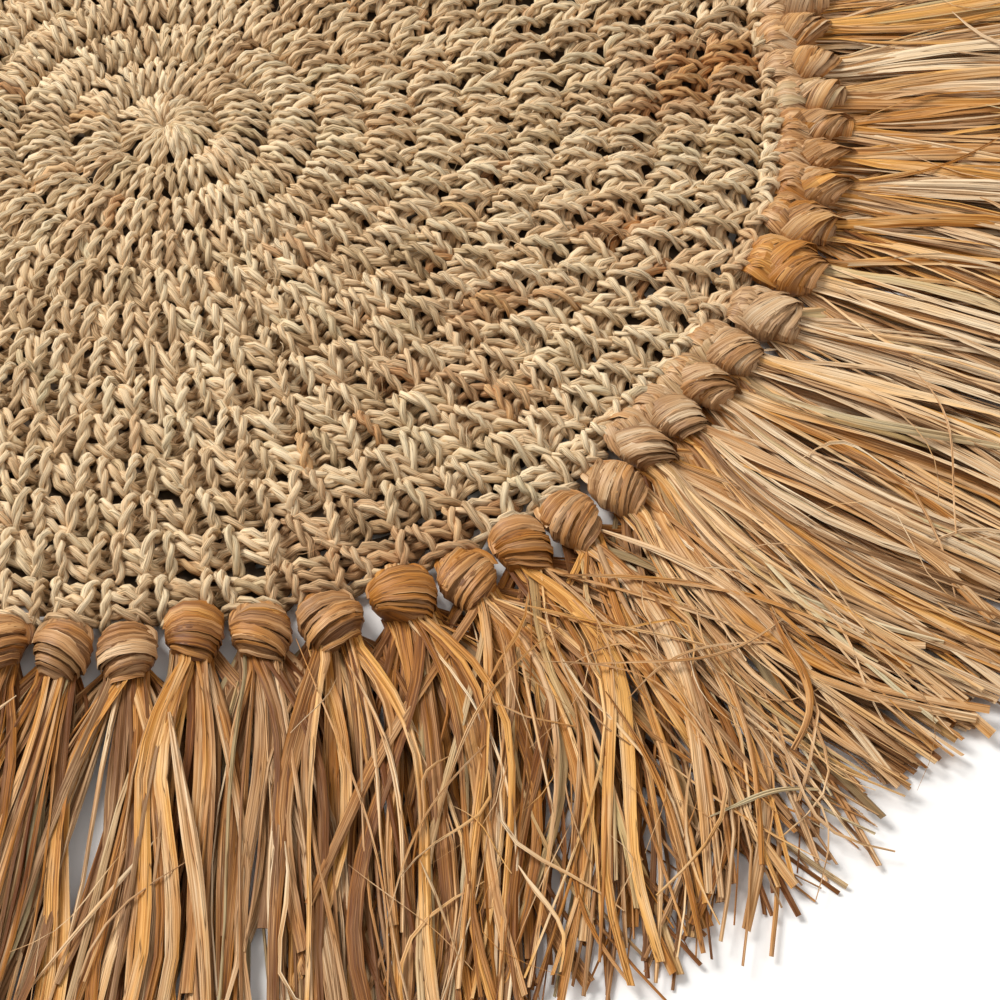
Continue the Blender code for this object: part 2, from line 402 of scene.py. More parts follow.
# Patches of rust on the cord
RUST_PATCHES = (
    # degrees round the mat, radius, reach, strength
    (2.4, 0.1364, 0.013, 0.9), (4.1, 0.1485, 0.011, 0.9), (-1.4, 0.1270, 0.009, 0.7),
    (-22.3, 0.1240, 0.009, 0.9), (-41.2, 0.1103, 0.009, 0.8), (-50.1, 0.1335, 0.009, 0.9),
    (-56.1, 0.1142, 0.006, 0.8), (-73.0, 0.1575, 0.014, 0.9), (-26.9, 0.1560, 0.010, 0.7),
    (-19.2, 0.1590, 0.010, 0.7), (150.0, 0.1200, 0.012, 0.8), (-64.5, 0.1595, 0.011, 0.8),
)

# The part of the cords that are rusty all along, and the x from which the tone rises as painted
# light
RUSTY_SHARE = 0.035
PAINTED_LIGHT_FROM = -0.03

# Every cord's pitch varies by a factor in one range, and a few are twisted more loosely
PITCH_RANGE = (0.88, 1.25)
LOOSE_SHARE = 0.06
LOOSE_RANGE = (1.5, 2.2)

# Painted shade: a ply is darker where it meets the other, and lower in the fabric
PAINTED_CREASE_SHADE = 0.36
PAINTED_LOW_SHADE = 0.52
LOW_FROM = 4.9 * MM
LOW_OVER = 3.7 * MM


def cord_finish_and_light(rng, points, tone, spread=0.15):
    """Finish of each cord: tone, rust, its own number, and grey-green tint.

    The tone wavers round the mat and rises to the right as painted light. A few cords are rusty
    all along, and each stained patch adds rust as its strength times exp(-(distance / reach)²).
    """
    count = len(points)
    middle = points.mean(axis=1)
    radius = np.hypot(middle[:, 0], middle[:, 1])
    angle = np.arctan2(middle[:, 1], middle[:, 0])
    tone = tone + rng.normal(0.0, spread, count)
    tone += 0.06 * np.sin(5.0 * angle + 30.0 * radius)
    # Painted light: the tone rises to the right
    tone += 0.60 * np.maximum(middle[:, 0], PAINTED_LIGHT_FROM)
    rust = np.where(rng.random(count) < RUSTY_SHARE, rng.uniform(0.25, 0.8, count), 0.0)
    rust += np.maximum(rng.normal(0.03, 0.07, count), 0.0)
    for degrees, far, reach, strength in RUST_PATCHES:
        turned = math.radians(degrees)
        spot = far * np.array([math.cos(turned), math.sin(turned)])
        gap = np.hypot(middle[:, 0] - spot[0], middle[:, 1] - spot[1])
        rust += strength * np.exp(-((gap / reach) ** 2)) * rng.uniform(0.3, 1.1, count)
    green = np.clip(rng.normal(0.0, 0.22, count), 0.0, 0.8)
    return np.stack([np.clip(tone, 0.0, 1.0), np.clip(rust, 0.0, 1.0),
                     rng.random(count), green], axis=1)


def twisted_cord(rng, controls, guide, samples, sides, girth, finish_and_shading, taper=0.0, slack=None):
    """Two plies round each path: each is a round tube whose middle circles the path.

    The middle's angle grows by a full turn for each pitch of length. The slack makes the
    pitch longer; where none is given, a few cords have one of their own. The plies' places,
    thickness and flatness vary a little.
    """
    paths = smooth_paths(controls, samples)
    across, up = path_frames(paths, guide)
    lengths = path_lengths(paths)
    count = len(paths)
    loose = np.where(rng.random(count) < LOOSE_SHARE, rng.uniform(*LOOSE_RANGE, count), 1.0)
    if slack is None:
        slack = loose
    pitch = PLY_PITCH * (rng.uniform(*PITCH_RANGE, count) * slack)[:, None]
    if finish_and_shading.ndim == 2:
        finish_and_shading = finish_and_shading[:, None, :]
    turn = rng.uniform(0.0, FULL_TURN, count)[:, None] + FULL_TURN * lengths / pitch
    steps = FULL_TURN * np.arange(sides) / sides
    outline = np.stack([np.cos(steps), np.sin(steps)], axis=1)
    round_ply = np.abs(np.linspace(-1.0, 1.0, sides, endpoint=False)) * math.pi * PLY_RADIUS
    thin = 1.0 - taper * np.linspace(-0.5, 0.5, samples)[None, :]
    blocks = []
    for half in (0.0, math.pi):
        reach = PLY_OFFSET * girth[:, None] * rng.uniform(0.9, 1.1, count)[:, None] * thin
        sweep = (reach * np.cos(turn + half))[..., None] * across
        sweep += (reach * np.sin(turn + half))[..., None] * up
        wave = np.sin(lengths * rng.uniform(300.0, 700.0, count)[:, None] + half)
        size = PLY_RADIUS * girth[:, None] * thin * (1.0 + 0.07 * wave)
        flat = rng.uniform(0.88, 1.14, count)[:, None]
        rings = carry_outline(paths + sweep, across, up, outline, size * flat, size / flat, NO_ROLL)
        # Painted shade: darker where the plies meet and low in the fabric
        crease_shade = np.clip(-np.cos(steps - (turn + half)[..., None]), 0.0, 1.0) ** 2
        low = np.clip((LOW_FROM - rings[..., 2]) / LOW_OVER, 0.0, 1.0)
        shade = np.broadcast_to(finish_and_shading[:, :, None, :], rings.shape[:3] + (4,)).copy()
        shade[..., 0] += spread_of(rng, count, 0.08)[:, None, None]
        shade[..., 0] -= PAINTED_CREASE_SHADE * crease_shade + PAINTED_LOW_SHADE * low
        shade[..., 2] = rng.random(count)[:, None, None]
        blocks.append(strand_block(rings, lengths, round_ply, shade))
    return blocks


# Stitches

# The run of a stitch's leg, from the round inside it to the round outside it
LEG = (
    # part of the round outwards, part of the way from top to foot, height in mm
    (0.03, 0.00, 2.9), (0.12, 0.00, 4.9), (0.28, 0.08, 6.9), (0.54, 0.42, 7.3),
    (0.82, 0.82, 6.0), (1.02, 1.00, 3.9), (1.13, 1.06, 2.6),
)
LEG_SIDES = 4
LEG_SAMPLES = 11
OPEN_LEG_SAMPLES = 13
LEG_TAPER = 0.16
LEG_TONE = 0.73

# Parts of a stitch's width from its middle to its legs, at their tops and at their feet
LEG_TOP = 0.22
LEG_TOP_MOST = 1.6 * MM
LEG_FOOT = 0.26
LEG_FOOT_MORE = 0.06

# The part of the round outwards about which a stitch leans
LEG_PIVOT = 0.2

# Cords that run on round the mat, with so many samples for each stitch
CHAIN_SIDES = 5
CHAIN_SAMPLES = 8
CHAIN_SLACK = 1.25
# Painted shade: in these tables the chain's tones lie below the legs', as it lies in shade under
# them
CHAIN = (
    # cords of the close rounds: where one comes in and goes out between two stitches, as
    # parts of the round's width, height of its hump in mm, girth, tone
    (0.16, 0.58, 4.9, 1.00, 0.66), (0.42, 0.86, 5.2, 1.10, 0.66), (0.70, 1.10, 4.6, 1.02, 0.60),
)
OPEN_CHAIN = (
    # the same for the open rounds
    (0.13, 0.52, 4.8, 1.07, 0.70), (0.42, 0.80, 5.1, 1.13, 0.69), (0.73, 1.05, 4.5, 1.00, 0.62),
)
EDGE_CHAIN = (
    # the same for the edge round
    (0.10, 0.42, 5.0, 1.00, 0.62), (0.46, 0.72, 5.8, 1.12, 0.66), (0.80, 1.04, 5.6, 1.06, 0.60),
)
CHAIN_HUMP = (
    # part of the way from one stitch to the next, part of the way from where the cord comes
    # in to where it goes out, part of the hump's height
    (0.00, 0.50, 0.42), (0.15, 0.08, 0.60), (0.30, 0.14, 0.97), (0.50, 0.50, 1.06),
    (0.70, 0.86, 0.97), (0.85, 0.92, 0.60),
)

# How unevenly stitches are spaced, as parts of their spacing
STITCH_UNEVEN = 0.07
EDGE_UNEVEN = 0.12

# The edge round reaches out with the knots by this part of their place, and is never narrower
# than this part of its width; its cords cross it at this part of the usual slope
EDGE_FOLLOWS = 0.9
EDGE_LEAST = 0.6
EDGE_SLOPE = 0.5


def angle_at(turns):
    """Angle at a part of a turn, spaced as the knots are spaced round the rim."""
    marks = np.concatenate([KNOT_ANGLES, [KNOT_ANGLES[0] + FULL_TURN]])
    return np.interp(np.mod(turns, 1.0) * TASSELS, np.arange(TASSELS + 1), marks)


def round_angles(rng, number):
    """Angle of each stitch of a full round.

    The stitches are even, moved towards the knots' spacing by the square of how far out the
    round is, and then a little uneven.
    """
    count = STITCHES[number]
    turns = (np.arange(count) + rng.random()) / count
    even = FULL_TURN * turns + KNOT_ANGLES[0]
    pull = ((number + 1.0) / FULL_ROUNDS) ** 2
    uneven = FULL_TURN / count * spread_of(rng, count, STITCH_UNEVEN)
    return even + pull * (angle_at(turns) - even) + uneven


def leg_spread(width, angles):
    """How far a stitch's legs stand from its middle at their tops and at their feet.

    Both are parts of its width, and the feet stand a little wider towards the right.
    """
    to_right = np.maximum(np.cos(angles), -0.2)
    return np.minimum(LEG_TOP_MOST, LEG_TOP * width), (LEG_FOOT + LEG_FOOT_MORE * to_right) * width


def stitch_legs(rng, inner, height, angles, samples):
    """Two cords of each stitch: up out of the fabric together, over it, and down apart.

    A leg's place aside goes from its top's to its foot's as the table says, and the whole
    stitch leans about its pivot.
    """
    count = len(angles)
    before = angles_before(angles)
    width = 0.5 * (before + np.roll(before, -1)) * (inner + 0.5 * height)
    lean = width * spread_of(rng, count, 0.10)
    taller = rng.normal(0.0, 0.35 * MM, count)
    top, foot = leg_spread(width, angles)
    guide = np.stack([-np.sin(angles), np.cos(angles), np.zeros(count)], axis=-1)[:, None, :]
    blocks = []
    for side in (-1.0, 1.0):
        wide = foot * rng.uniform(0.75, 1.2, count)
        reach = spread_of(rng, count, 0.05)
        rows = []
        for outwards, spread, rise in LEG:
            aside = side * (top + (wide - top) * spread) + lean * (outwards - LEG_PIVOT)
            aside = aside + spread_of(rng, count, 0.3 * MM)
            radius = inner + (outwards + reach) * height
            rows.append(ring_points(radius, angles, rise * MM + taller, aside))
        controls = np.stack(rows, axis=1)
        girth = rng.uniform(0.80, 0.97, count)
        finish_and_shading = cord_finish_and_light(rng, controls, LEG_TONE)
        blocks += twisted_cord(rng, controls, guide, samples, LEG_SIDES, girth, finish_and_shading,
                               taper=LEG_TAPER)
    return blocks


def round_chain(rng, inner, height, angles, cords, slope=1.0):
    """Cords that run on round the mat: under the legs of each stitch, and humped between two.

    Each is one closed path. Between two stitches it crosses from where it comes in to where
    it goes out, and rises and sinks, as the table of the hump says.
    """
    count = len(angles)
    before = angles_before(angles)
    guide = np.array([0.0, 0.0, 1.0])
    blocks = []
    for start, end, hump, girth, tone in cords:
        middle = 0.5 * (start + end)
        shift = spread_of(rng, count, 0.05)
        taller = rng.normal(0.0, 0.4 * MM, count)
        crossing = (end - start) * slope * rng.uniform(0.6, 1.35, count)
        rows = []
        for way, outwards, rise in CHAIN_HUMP:
            aside = spread_of(rng, count, 0.25 * MM)
            place = middle + crossing * (outwards - 0.5) + shift + spread_of(rng, count, 0.02)
            lifted = (hump * MM + taller) * rise
            angle = angles - before * (1.0 - way)
            rows.append(ring_points(inner + place * height, angle, lifted, aside))
        controls = np.stack(rows, axis=1)
        finish_and_shading = np.repeat(cord_finish_and_light(rng, controls, tone), CHAIN_SAMPLES, axis=0)
        finish_and_shading = np.concatenate([finish_and_shading, finish_and_shading[:1]])[None]
        ring = controls.reshape(1, -1, 3)
        ring = np.concatenate([ring, ring[:, :1]], axis=1)
        blocks += twisted_cord(rng, ring, guide, count * CHAIN_SAMPLES + 1, CHAIN_SIDES,
                               np.array([girth]), finish_and_shading, slack=CHAIN_SLACK)
    return blocks


def crochet_blocks(first, end):
    """All strands of the full rounds from the first up to, but not with, the end.

    The innermost round has no cords that run on round the mat, the next has one, and the
    third has two.
    """
    blocks = []
    for number in range(first, end):
        rng = dice(ROUND_DICE, number)
        inner = number * ROUND_WIDTH
        angles = round_angles(rng, number)
        opened = number >= OPEN_FROM
        samples = OPEN_LEG_SAMPLES if opened else LEG_SAMPLES
        cords = OPEN_CHAIN if opened else CHAIN[:number]
        blocks += stitch_legs(rng, inner, ROUND_WIDTH, angles, samples)
        blocks += round_chain(rng, inner, ROUND_WIDTH, angles, cords)
    return blocks


def edge_blocks():
    """The edge round: its stitches reach out to the knots, with a flatter chain."""
    rng = dice(EDGE_DICE)
    angles = KNOT_ANGLES + AFTER_KNOT * (0.5 + spread_of(rng, TASSELS, EDGE_UNEVEN))
    drawn = 0.5 * (OUTWARDS + np.roll(OUTWARDS, -1))
    height = np.maximum(EDGE_WIDTH + EDGE_FOLLOWS * drawn * MM, EDGE_LEAST * EDGE_WIDTH)
    blocks = stitch_legs(rng, EDGE_FROM, height, angles, OPEN_LEG_SAMPLES)
    return blocks + round_chain(rng, EDGE_FROM, height, angles, EDGE_CHAIN, slope=EDGE_SLOPE)


# Web under the stitches: a dark sheet of painted shade

# Its columns of faces, its hole, its height with a low wave and a rise, and its thickness
WEB_COLUMNS = 144
WEB_HOLE = 0.8 * MM
WEB_TOP = 1.7 * MM
WEB_WAVE_HEIGHT = 0.3 * MM
WEB_WAVES = 36.0
WEB_WAVE_SLANT = 300.0
WEB_RISE = 1.2 * MM
WEB_RISE_REACH = 0.04
WEB_THICKNESS = 0.9 * MM

# Past the last full round, the web's rows end at these mm, and at last this far inside the rim
WEB_EDGE_ROWS = (1.2, 4.6)
WEB_MARGIN = 0.4 * MM

# Where a round has gaps, its rows end at these parts of it and the last row has the gaps.
# For each such round, counted from 0, one column in this many is a gap
WEB_GAP_PARTS = (0.40, 0.81, 0.97)
WEB_GAPS = {10: 4, 11: 2}


def make_web(material):
    """A thin sheet of painted shade under the stitches, with the open gaps of the outer rounds left
    out.

    Its height is a level, a low wave round the mat, and a rise exp(-(radius / reach)²).
    """
    edges = [WEB_HOLE]
    gap_rows = {}
    for number in range(FULL_ROUNDS):
        parts = WEB_GAP_PARTS if number in WEB_GAPS else (1.0,)
        edges += [(number + part) * ROUND_WIDTH for part in parts]
        if number in WEB_GAPS:
            gap_rows[len(edges) - 2] = WEB_GAPS[number]
    last = FULL_ROUNDS * ROUND_WIDTH
    edges += [last + past * MM for past in WEB_EDGE_ROWS] + [RIM - WEB_MARGIN]
    radius = np.array(edges)[:, None]
    angle = np.linspace(0.0, FULL_TURN, WEB_COLUMNS, endpoint=False)[None, :]
    wave = WEB_WAVE_HEIGHT * np.sin(WEB_WAVES * angle + WEB_WAVE_SLANT * radius)
    height = WEB_TOP + wave + WEB_RISE * np.exp(-((radius / WEB_RISE_REACH) ** 2))
    top = settle(np.stack([radius * np.cos(angle), radius * np.sin(angle), height], axis=-1))
    rows = len(edges)
    index = np.arange(rows * WEB_COLUMNS).reshape(rows, WEB_COLUMNS)
    beside = np.roll(index, -1, axis=1)
    quads = np.stack([index[:-1], index[1:], beside[1:], beside[:-1]], axis=-1)
    keep = np.ones((rows - 1, WEB_COLUMNS), dtype=bool)
    for row, spacing in gap_rows.items():
        keep[row] = np.arange(WEB_COLUMNS) % spacing > 0
    faces = quads[keep].reshape(-1, 4).tolist() + [index[0].tolist()]
    mesh = bpy.data.meshes.new("mat_painted_shade")
    mesh.from_pydata(top.reshape(-1, 3).tolist(), [], faces)
    mesh.validate()
    mesh.polygons.foreach_set("use_smooth", np.ones(len(mesh.polygons), dtype=bool))
    web = place_object("mat_painted_shade", mesh, material)
    wall = web.modifiers.new("thickness", "SOLIDIFY")
    wall.thickness = WEB_THICKNESS
    wall.offset = -1.0
    return web


# Knots

# Where a knot starts, inwards of its middle, and how long it is
KNOT_FROM = -8.4 * MM
KNOT_LONG = 18.2 * MM
KNOT_SHAPE = np.array((
    # mm from the knot's middle, part of the half width, top and underside in mm
    (-8.4, 0.22, 2.6, 1.4), (-6.8, 0.44, 4.8, 0.8), (-4.6, 0.74, 7.4, 0.3),
    (-1.4, 0.98, 9.3, 0.1), (2.6, 0.99, 9.8, 0.1), (6.2, 0.80, 8.4, 0.2),
    (9.8, 0.54, 6.2, 0.6),
))

# Room that a knot's core leaves at its sides for the strips, and the lowest that it may lie
KNOT_SKIN = 0.7 * MM
KNOT_FLOOR = 0.15 * MM

# Mesh of a knot's body, and its usual radius, by which its fibres are scaled round it
BODY_RINGS = 12
BODY_SIDES = 14
BODY_RADIUS = 8.0 * MM

# Strips wound over a knot, from one part of its length to another, further from the inner end
# of a knot that is drawn in. They reach down its sides to a turn from its top and sink there
WRAPS = 10
WRAP_SAMPLES = 10
WRAP_FROM = 0.13
WRAP_FROM_DRAWN_IN = 0.30
WRAP_TO = 0.95
WRAP_REACH = math.radians(118.0)
WRAP_SINK = 1.4 * MM

# How deep a full pinch is drawn in
PINCH_DEPTH = 1.1 * MM

# Ribbons that hook over a knot's inner end. They slew about a part of the half width, and
# lie lower where the knot isn't drawn in
HOOKS = 5
HOOK_SAMPLES = 7
HOOK = (
    # mm from the knot's middle, part of the half width, height in mm, puff of a drawn-in one
    (-9.4, 0.10, 2.2, 0.0), (-8.6, 0.20, 4.4, 0.8), (-7.2, 0.36, 6.4, 1.6),
    (-5.2, 0.56, 8.0, 1.3), (-2.8, 0.72, 9.0, 0.0), (0.4, 0.80, 9.1, -1.6),
)
HOOK_SINK = 0.9 * MM
HOOK_PIVOT = 0.74

# How broad a hook ribbon is at parts of its length, on a knot that is drawn in and on others
LEAF_PARTS = (0.0, 0.25, 0.6, 1.0)
LEAF_DRAWN_IN = (0.40, 1.35, 1.60, 0.85)
LEAF = (0.22, 0.70, 0.95, 0.35)

# Outlines of a ribbon, each listed from its right edge over its top to its left edge
HAIR = np.array(((1.0, -0.6), (0.0, 1.0), (-1.0, -0.6)))
ROOF = np.array(((1.0, 0.0), (0.1, 1.0), (-1.0, 0.0)))
CREASED = np.array(((1.0, 0.0), (0.55, 1.0), (0.05, 0.25), (-0.45, 0.9), (-1.0, 0.05)))

# The part of the ribbons that are still greenish
GREEN_SHARE = 0.08


def at_knot(tassel, outwards, aside, height):
    """Points by their place from a knot's middle, turned with it and set at its angle."""
    twist = KNOT_TURN[tassel]
    cos, sin = math.cos(twist), math.sin(twist)
    x = KNOT_RING + OUTWARDS[tassel] * MM + outwards * cos - aside * sin
    y = outwards * sin + aside * cos
    cos, sin = math.cos(KNOT_ANGLES[tassel]), math.sin(KNOT_ANGLES[tassel])
    return np.stack([x * cos - y * sin, x * sin + y * cos, height], axis=-1)


def knot_direction(tassel):
    """The way a knot points, level and outwards."""
    turned = KNOT_ANGLES[tassel] + KNOT_TURN[tassel]
    return np.array([math.cos(turned), math.sin(turned), 0.0])


def knot_surface(tassel, part, turn, lift):
    """Points of a knot: a part of its length, a turn from its top, and a lift off its core.

    Across the knot they lie on an ellipse: aside by its half width times the sine of the
    turn, and above its middle by its half height times the cosine.
    """
    outwards = KNOT_FROM + KNOT_LONG * part
    half, top, under = (np.interp(outwards / MM, KNOT_SHAPE[:, 0], column)
                        for column in KNOT_SHAPE[:, 1:].T)
    room = np.where(turn > 0.0, KNOT_RIGHT[tassel], KNOT_LEFT[tassel]) - KNOT_SKIN
    girth = GIRTH[tassel]
    middle = 0.5 * (top + under) * MM * girth
    tall = 0.5 * (top - under) * MM * girth
    aside = (half * room + lift) * np.sin(turn)
    height = middle + (tall + lift) * np.cos(turn)
    return at_knot(tassel, outwards, aside, np.maximum(height, KNOT_FLOOR))


def raffia_finish(rng, count, warmth, tone, tone_spread):
    """Finish of each ribbon: tone, warmth from straw to orange brown, number, green tint."""
    green = np.where(rng.random(count) < GREEN_SHARE, rng.uniform(0.3, 0.9, count), 0.0)
    return np.stack([
        np.clip(tone + rng.normal(0.0, tone_spread, count), 0.0, 1.0),
        np.clip(warmth + rng.normal(0.0, 0.14, count), 0.0, 1.0),
        rng.random(count), green,
    ], axis=1)


def knot_finish_and_light(rng, tassel, count, tone, tone_spread):
    """Finish of a knot's ribbons: paler to the right as painted light; less green the warmer it is.
    """
    warmth = 0.10 + 0.92 * KNOT_WARMTH[tassel]
    # Painted light: the tone rises to the right
    tone = tone - 0.13 + 0.19 * PAINTED_RIGHT_LIGHT[tassel]
    finish_and_shading = raffia_finish(rng, count, warmth, tone, tone_spread)
    finish_and_shading[:, 3] *= 0.9 * (1.0 - KNOT_WARMTH[tassel])
    return finish_and_shading


def knot_windings():
    """How each knot is wound: its pinched side, how much, where, and the windings' slant."""
    rng = dice(WINDING_DICE)
    side = rng.choice((-1.0, 1.0), TASSELS)
    pinch = rng.uniform(0.25, 0.70, TASSELS)
    pinch_at = rng.uniform(0.40, 0.70, TASSELS)
    slant = np.where(DRAWN_IN, rng.uniform(0.15, 0.42, TASSELS),
                     -side * rng.uniform(0.02, 0.22, TASSELS))
    return side, pinch, pinch_at, slant


PINCHED_SIDE, PINCH, PINCH_AT, SLANT = knot_windings()


def gathered_at(tassel, turn):
    """How far a winding is gathered: nothing on top, and as sin(turn) ** 1.3 at the one side."""
    return PINCH[tassel] * np.clip(PINCHED_SIDE[tassel] * np.sin(turn), 0.0, 1.0) ** 1.3


def winding_part(tassel, start, turn):
    """Part of the knot's length at a turn of the winding that crosses the top at its start.

    It is the start, moved towards the pinch by how far it is gathered there, and slanted by
    4 · start · (1 - start) · sin(turn), so the first and last windings don't slant.
    """
    part = start + (PINCH_AT[tassel] - start) * gathered_at(tassel, turn)
    part = part + SLANT[tassel] * 4.0 * start * (1.0 - start) * np.sin(turn)
    return np.clip(part, 0.0, 1.0)


def knot_body(tassel):
    """The wound body of a knot: windings by turns round it, each winding higher or lower."""
    rng = dice(BODY_DICE, tassel)
    each = (BODY_RINGS, 1)
    start = np.linspace(0.0, 1.0, BODY_RINGS)[:, None]
    turn = np.linspace(-math.pi, math.pi, BODY_SIDES, endpoint=False)[::-1][None, :]
    ridge = rng.uniform(-0.75, 0.15, each) * MM
    wave = np.sin(turn * rng.integers(1, 3, each) + 6.0 * rng.random(each))
    lift = ridge + 0.3 * MM * wave - PINCH_DEPTH * gathered_at(tassel, turn)
    points = knot_surface(tassel, winding_part(tassel, start, turn), turn, lift)[None]
    finish_and_shading = knot_finish_and_light(rng, tassel, 1, tone=0.30, tone_spread=0.04)
    return strand_block(points, (turn * BODY_RADIUS)[None], (start * KNOT_LONG)[None], finish_and_shading)


def wrap_strips(tassel):
    """Broad strips wound over a knot from side to side and gathered towards its pinch.

    One of the inner strips is broader, lies over the others and slants on its own. All sink
    into the knot at their ends, as the fourth power of the way there.
    """
    rng = dice(WRAP_DICE, tassel)
    each = (WRAPS, 1)
    inner = WRAP_FROM_DRAWN_IN if DRAWN_IN[tassel] else WRAP_FROM
    start = np.linspace(inner, WRAP_TO, WRAPS)[:, None] + spread_of(rng, each, 0.04)
    way = np.linspace(1.0, -1.0, WRAP_SAMPLES)[None, :]
    turn = way * WRAP_REACH
    gathered = gathered_at(tassel, turn)
    part = winding_part(tassel, start, turn)
    broad = rng.integers(1, 7)
    part[broad] += rng.uniform(-0.16, 0.16) * np.sin(turn[0]) + 0.03
    lift = rng.uniform(-0.1, 0.4, each) * MM - PINCH_DEPTH * gathered
    lift = lift + 0.2 * MM * np.sin(2.0 * turn + start * 9.0)
    lift[broad] += 0.35 * MM
    lift = lift - WRAP_SINK * way ** 4
    paths = knot_surface(tassel, np.clip(part, 0.05, 1.0), turn, lift)
    wide = rng.uniform(0.5, 1.7, each) * MM
    wide[broad] = rng.uniform(2.0, 3.0) * MM
    width = wide * (1.0 - 0.75 * gathered) * np.clip((1.0 - np.abs(way)) / 0.3, 0.25, 1.0)
    fold = (0.28 + 0.20 * rng.random(each)) * MM
    roll = spread_of(rng, each, 0.18)
    finish_and_shading = knot_finish_and_light(rng, tassel, WRAPS, tone=0.44, tone_spread=0.08)
    finish_and_shading[broad, 0] += 0.10
    return ribbon_block(paths, knot_direction(tassel), ROOF, width, fold, roll, finish_and_shading)


def hook_ribbons(tassel):
    """Ribbons that come up through the edge round and fan over the knot's inner end.

    Each lies at its own part of the fan from -1 to 1, lower and more tilted towards the
    sides, and its root is painted darker as shade.
    """
    rng = dice(HOOK_DICE, tassel)
    fan = np.linspace(-0.95, 0.95, HOOKS) + spread_of(rng, HOOKS, 0.15)
    room = 0.5 * (KNOT_LEFT[tassel] + KNOT_RIGHT[tassel])
    slew = rng.uniform(-0.35, 0.35)
    reach = rng.uniform(0.8, 1.15, HOOKS)
    drawn_in = DRAWN_IN[tassel]
    rows = []
    for outwards, part, height, puff in HOOK:
        aside = (fan * part + slew * (part - HOOK_PIVOT)) * room + spread_of(rng, HOOKS, 0.25 * MM)
        drop = 1.0 - 0.28 * fan ** 2 * part
        rise = height * MM * drop * GIRTH[tassel] + spread_of(rng, HOOKS, 0.2 * MM)
        rise = rise + (puff * MM if drawn_in else -HOOK_SINK)
        rows.append(at_knot(tassel, outwards * reach * MM, aside, rise))
    paths = smooth_paths(np.stack(rows, axis=1), HOOK_SAMPLES)
    steps = np.linspace(0.0, 1.0, HOOK_SAMPLES)
    leaf = np.interp(steps, LEAF_PARTS, LEAF_DRAWN_IN if drawn_in else LEAF)
    width = rng.uniform(1.7, 2.5, (HOOKS, 1)) * MM * leaf[None, :]
    finish_and_shading = knot_finish_and_light(rng, tassel, HOOKS, tone=0.50, tone_spread=0.09)
    finish_and_shading = np.repeat(finish_and_shading[:, None, :], HOOK_SAMPLES, axis=1)
    # Painted shade: darker towards the root
    finish_and_shading[..., 0] -= 0.22 * (1.0 - steps) ** 2
    return ribbon_block(paths, level_guide(paths), CREASED, width, 0.20 * width,
                        -0.5 * fan[:, None], finish_and_shading[:, :, None, :])


# Loose ribbons of the fringe

# Broad creased ribbons and narrow ones, both in clumps
FRINGE = (
    # ribbons in a tassel, samples, outline, least and most half width in mm, least and most
    # fold as a part of the half width, lowest and highest layer, tilt, twist
    (18, 12, CREASED, 0.7, 2.0, 0.08, 0.26, 0.20, 0.95, 0.24, 0.45),
    (47, 9, ROOF, 0.16, 0.85, 0.20, 0.50, 0.00, 1.00, 0.35, 0.45),
)
CLUMPS = 5

# Where the ribbons leave the knot in a bunch, its half width as a part of the knot's, how high
# its lowest ribbons are and how much higher its highest, and how soon they sink on their way
NECK = KNOT_FROM + KNOT_LONG - 1.4 * MM
NECK_HALF = 0.56
NECK_LOW = 1.1 * MM
NECK_TALL = 4.8 * MM
NECK_SINKS_OVER = 0.22

# How far ribbons have opened from their place in the neck to that of their tip, at parts of
# their way; those in the layers under LOW_LAYER open sooner
NECK_PARTS = (-0.05, 0.00, 0.08, 0.20, 0.36, 0.56, 0.78, 1.00)
NECK_OPENED = (0.00, 0.00, 0.12, 0.32, 0.55, 0.76, 0.90, 1.00)
NECK_OPENED_BELOW = (0.00, 0.22, 0.62, 0.82, 0.92, 0.96, 0.98, 1.00)
LOW_LAYER = 0.42

# Samples crowd towards the tips by this power of the way
FRINGE_EASE = 0.72

# The heap of loose ribbons, how high its lowest ribbons lie, and the lowest that any may lie
HEAP = np.array((
    # mm from the middle of the mat, mm from the lowest ribbons to the highest
    (178.0, 6.0), (195.0, 7.6), (215.0, 8.2), (245.0, 6.4), (270.0, 4.0), (290.0, 2.4),
))
HEAP_FLOOR = 0.45 * MM
RIBBON_FLOOR = 0.4 * MM

# A tassel's tips spread over this part of the ring of tips that it has to itself, and some of
# its ribbons are short, by up to this much
FAN_SHARE = 0.67
SHORT_SHARE = 0.13
SHORT_MOST = 34.0 * MM

# Tassels more untidy than this have more samples in each ribbon
UNTIDY_FROM = 0.69
UNTIDY_SAMPLES = 3


def heap_height(radius):
    """Height of the heap of loose ribbons at a distance from the middle of the mat."""
    return np.interp(radius, HEAP[:, 0] * MM, HEAP[:, 1] * MM)


def fringe_places(rng, count, layer):
    """Clump of each ribbon, its place across the fan from -1 to 1, and its layer.

    Ribbons gather about the middle of their clump, and a clump lies higher or lower as one.
    """
    clump = rng.integers(0, CLUMPS, count)
    middle = (np.arange(CLUMPS) + 0.5) / CLUMPS * 2.0 - 1.0 + spread_of(rng, CLUMPS, 0.25)
    across = np.clip(middle[clump] + rng.normal(0.0, 0.17, count), -1.25, 1.25)
    layer = np.clip(layer + spread_of(rng, CLUMPS, 0.28)[clump], 0.0, 1.0)
    return clump, across, layer


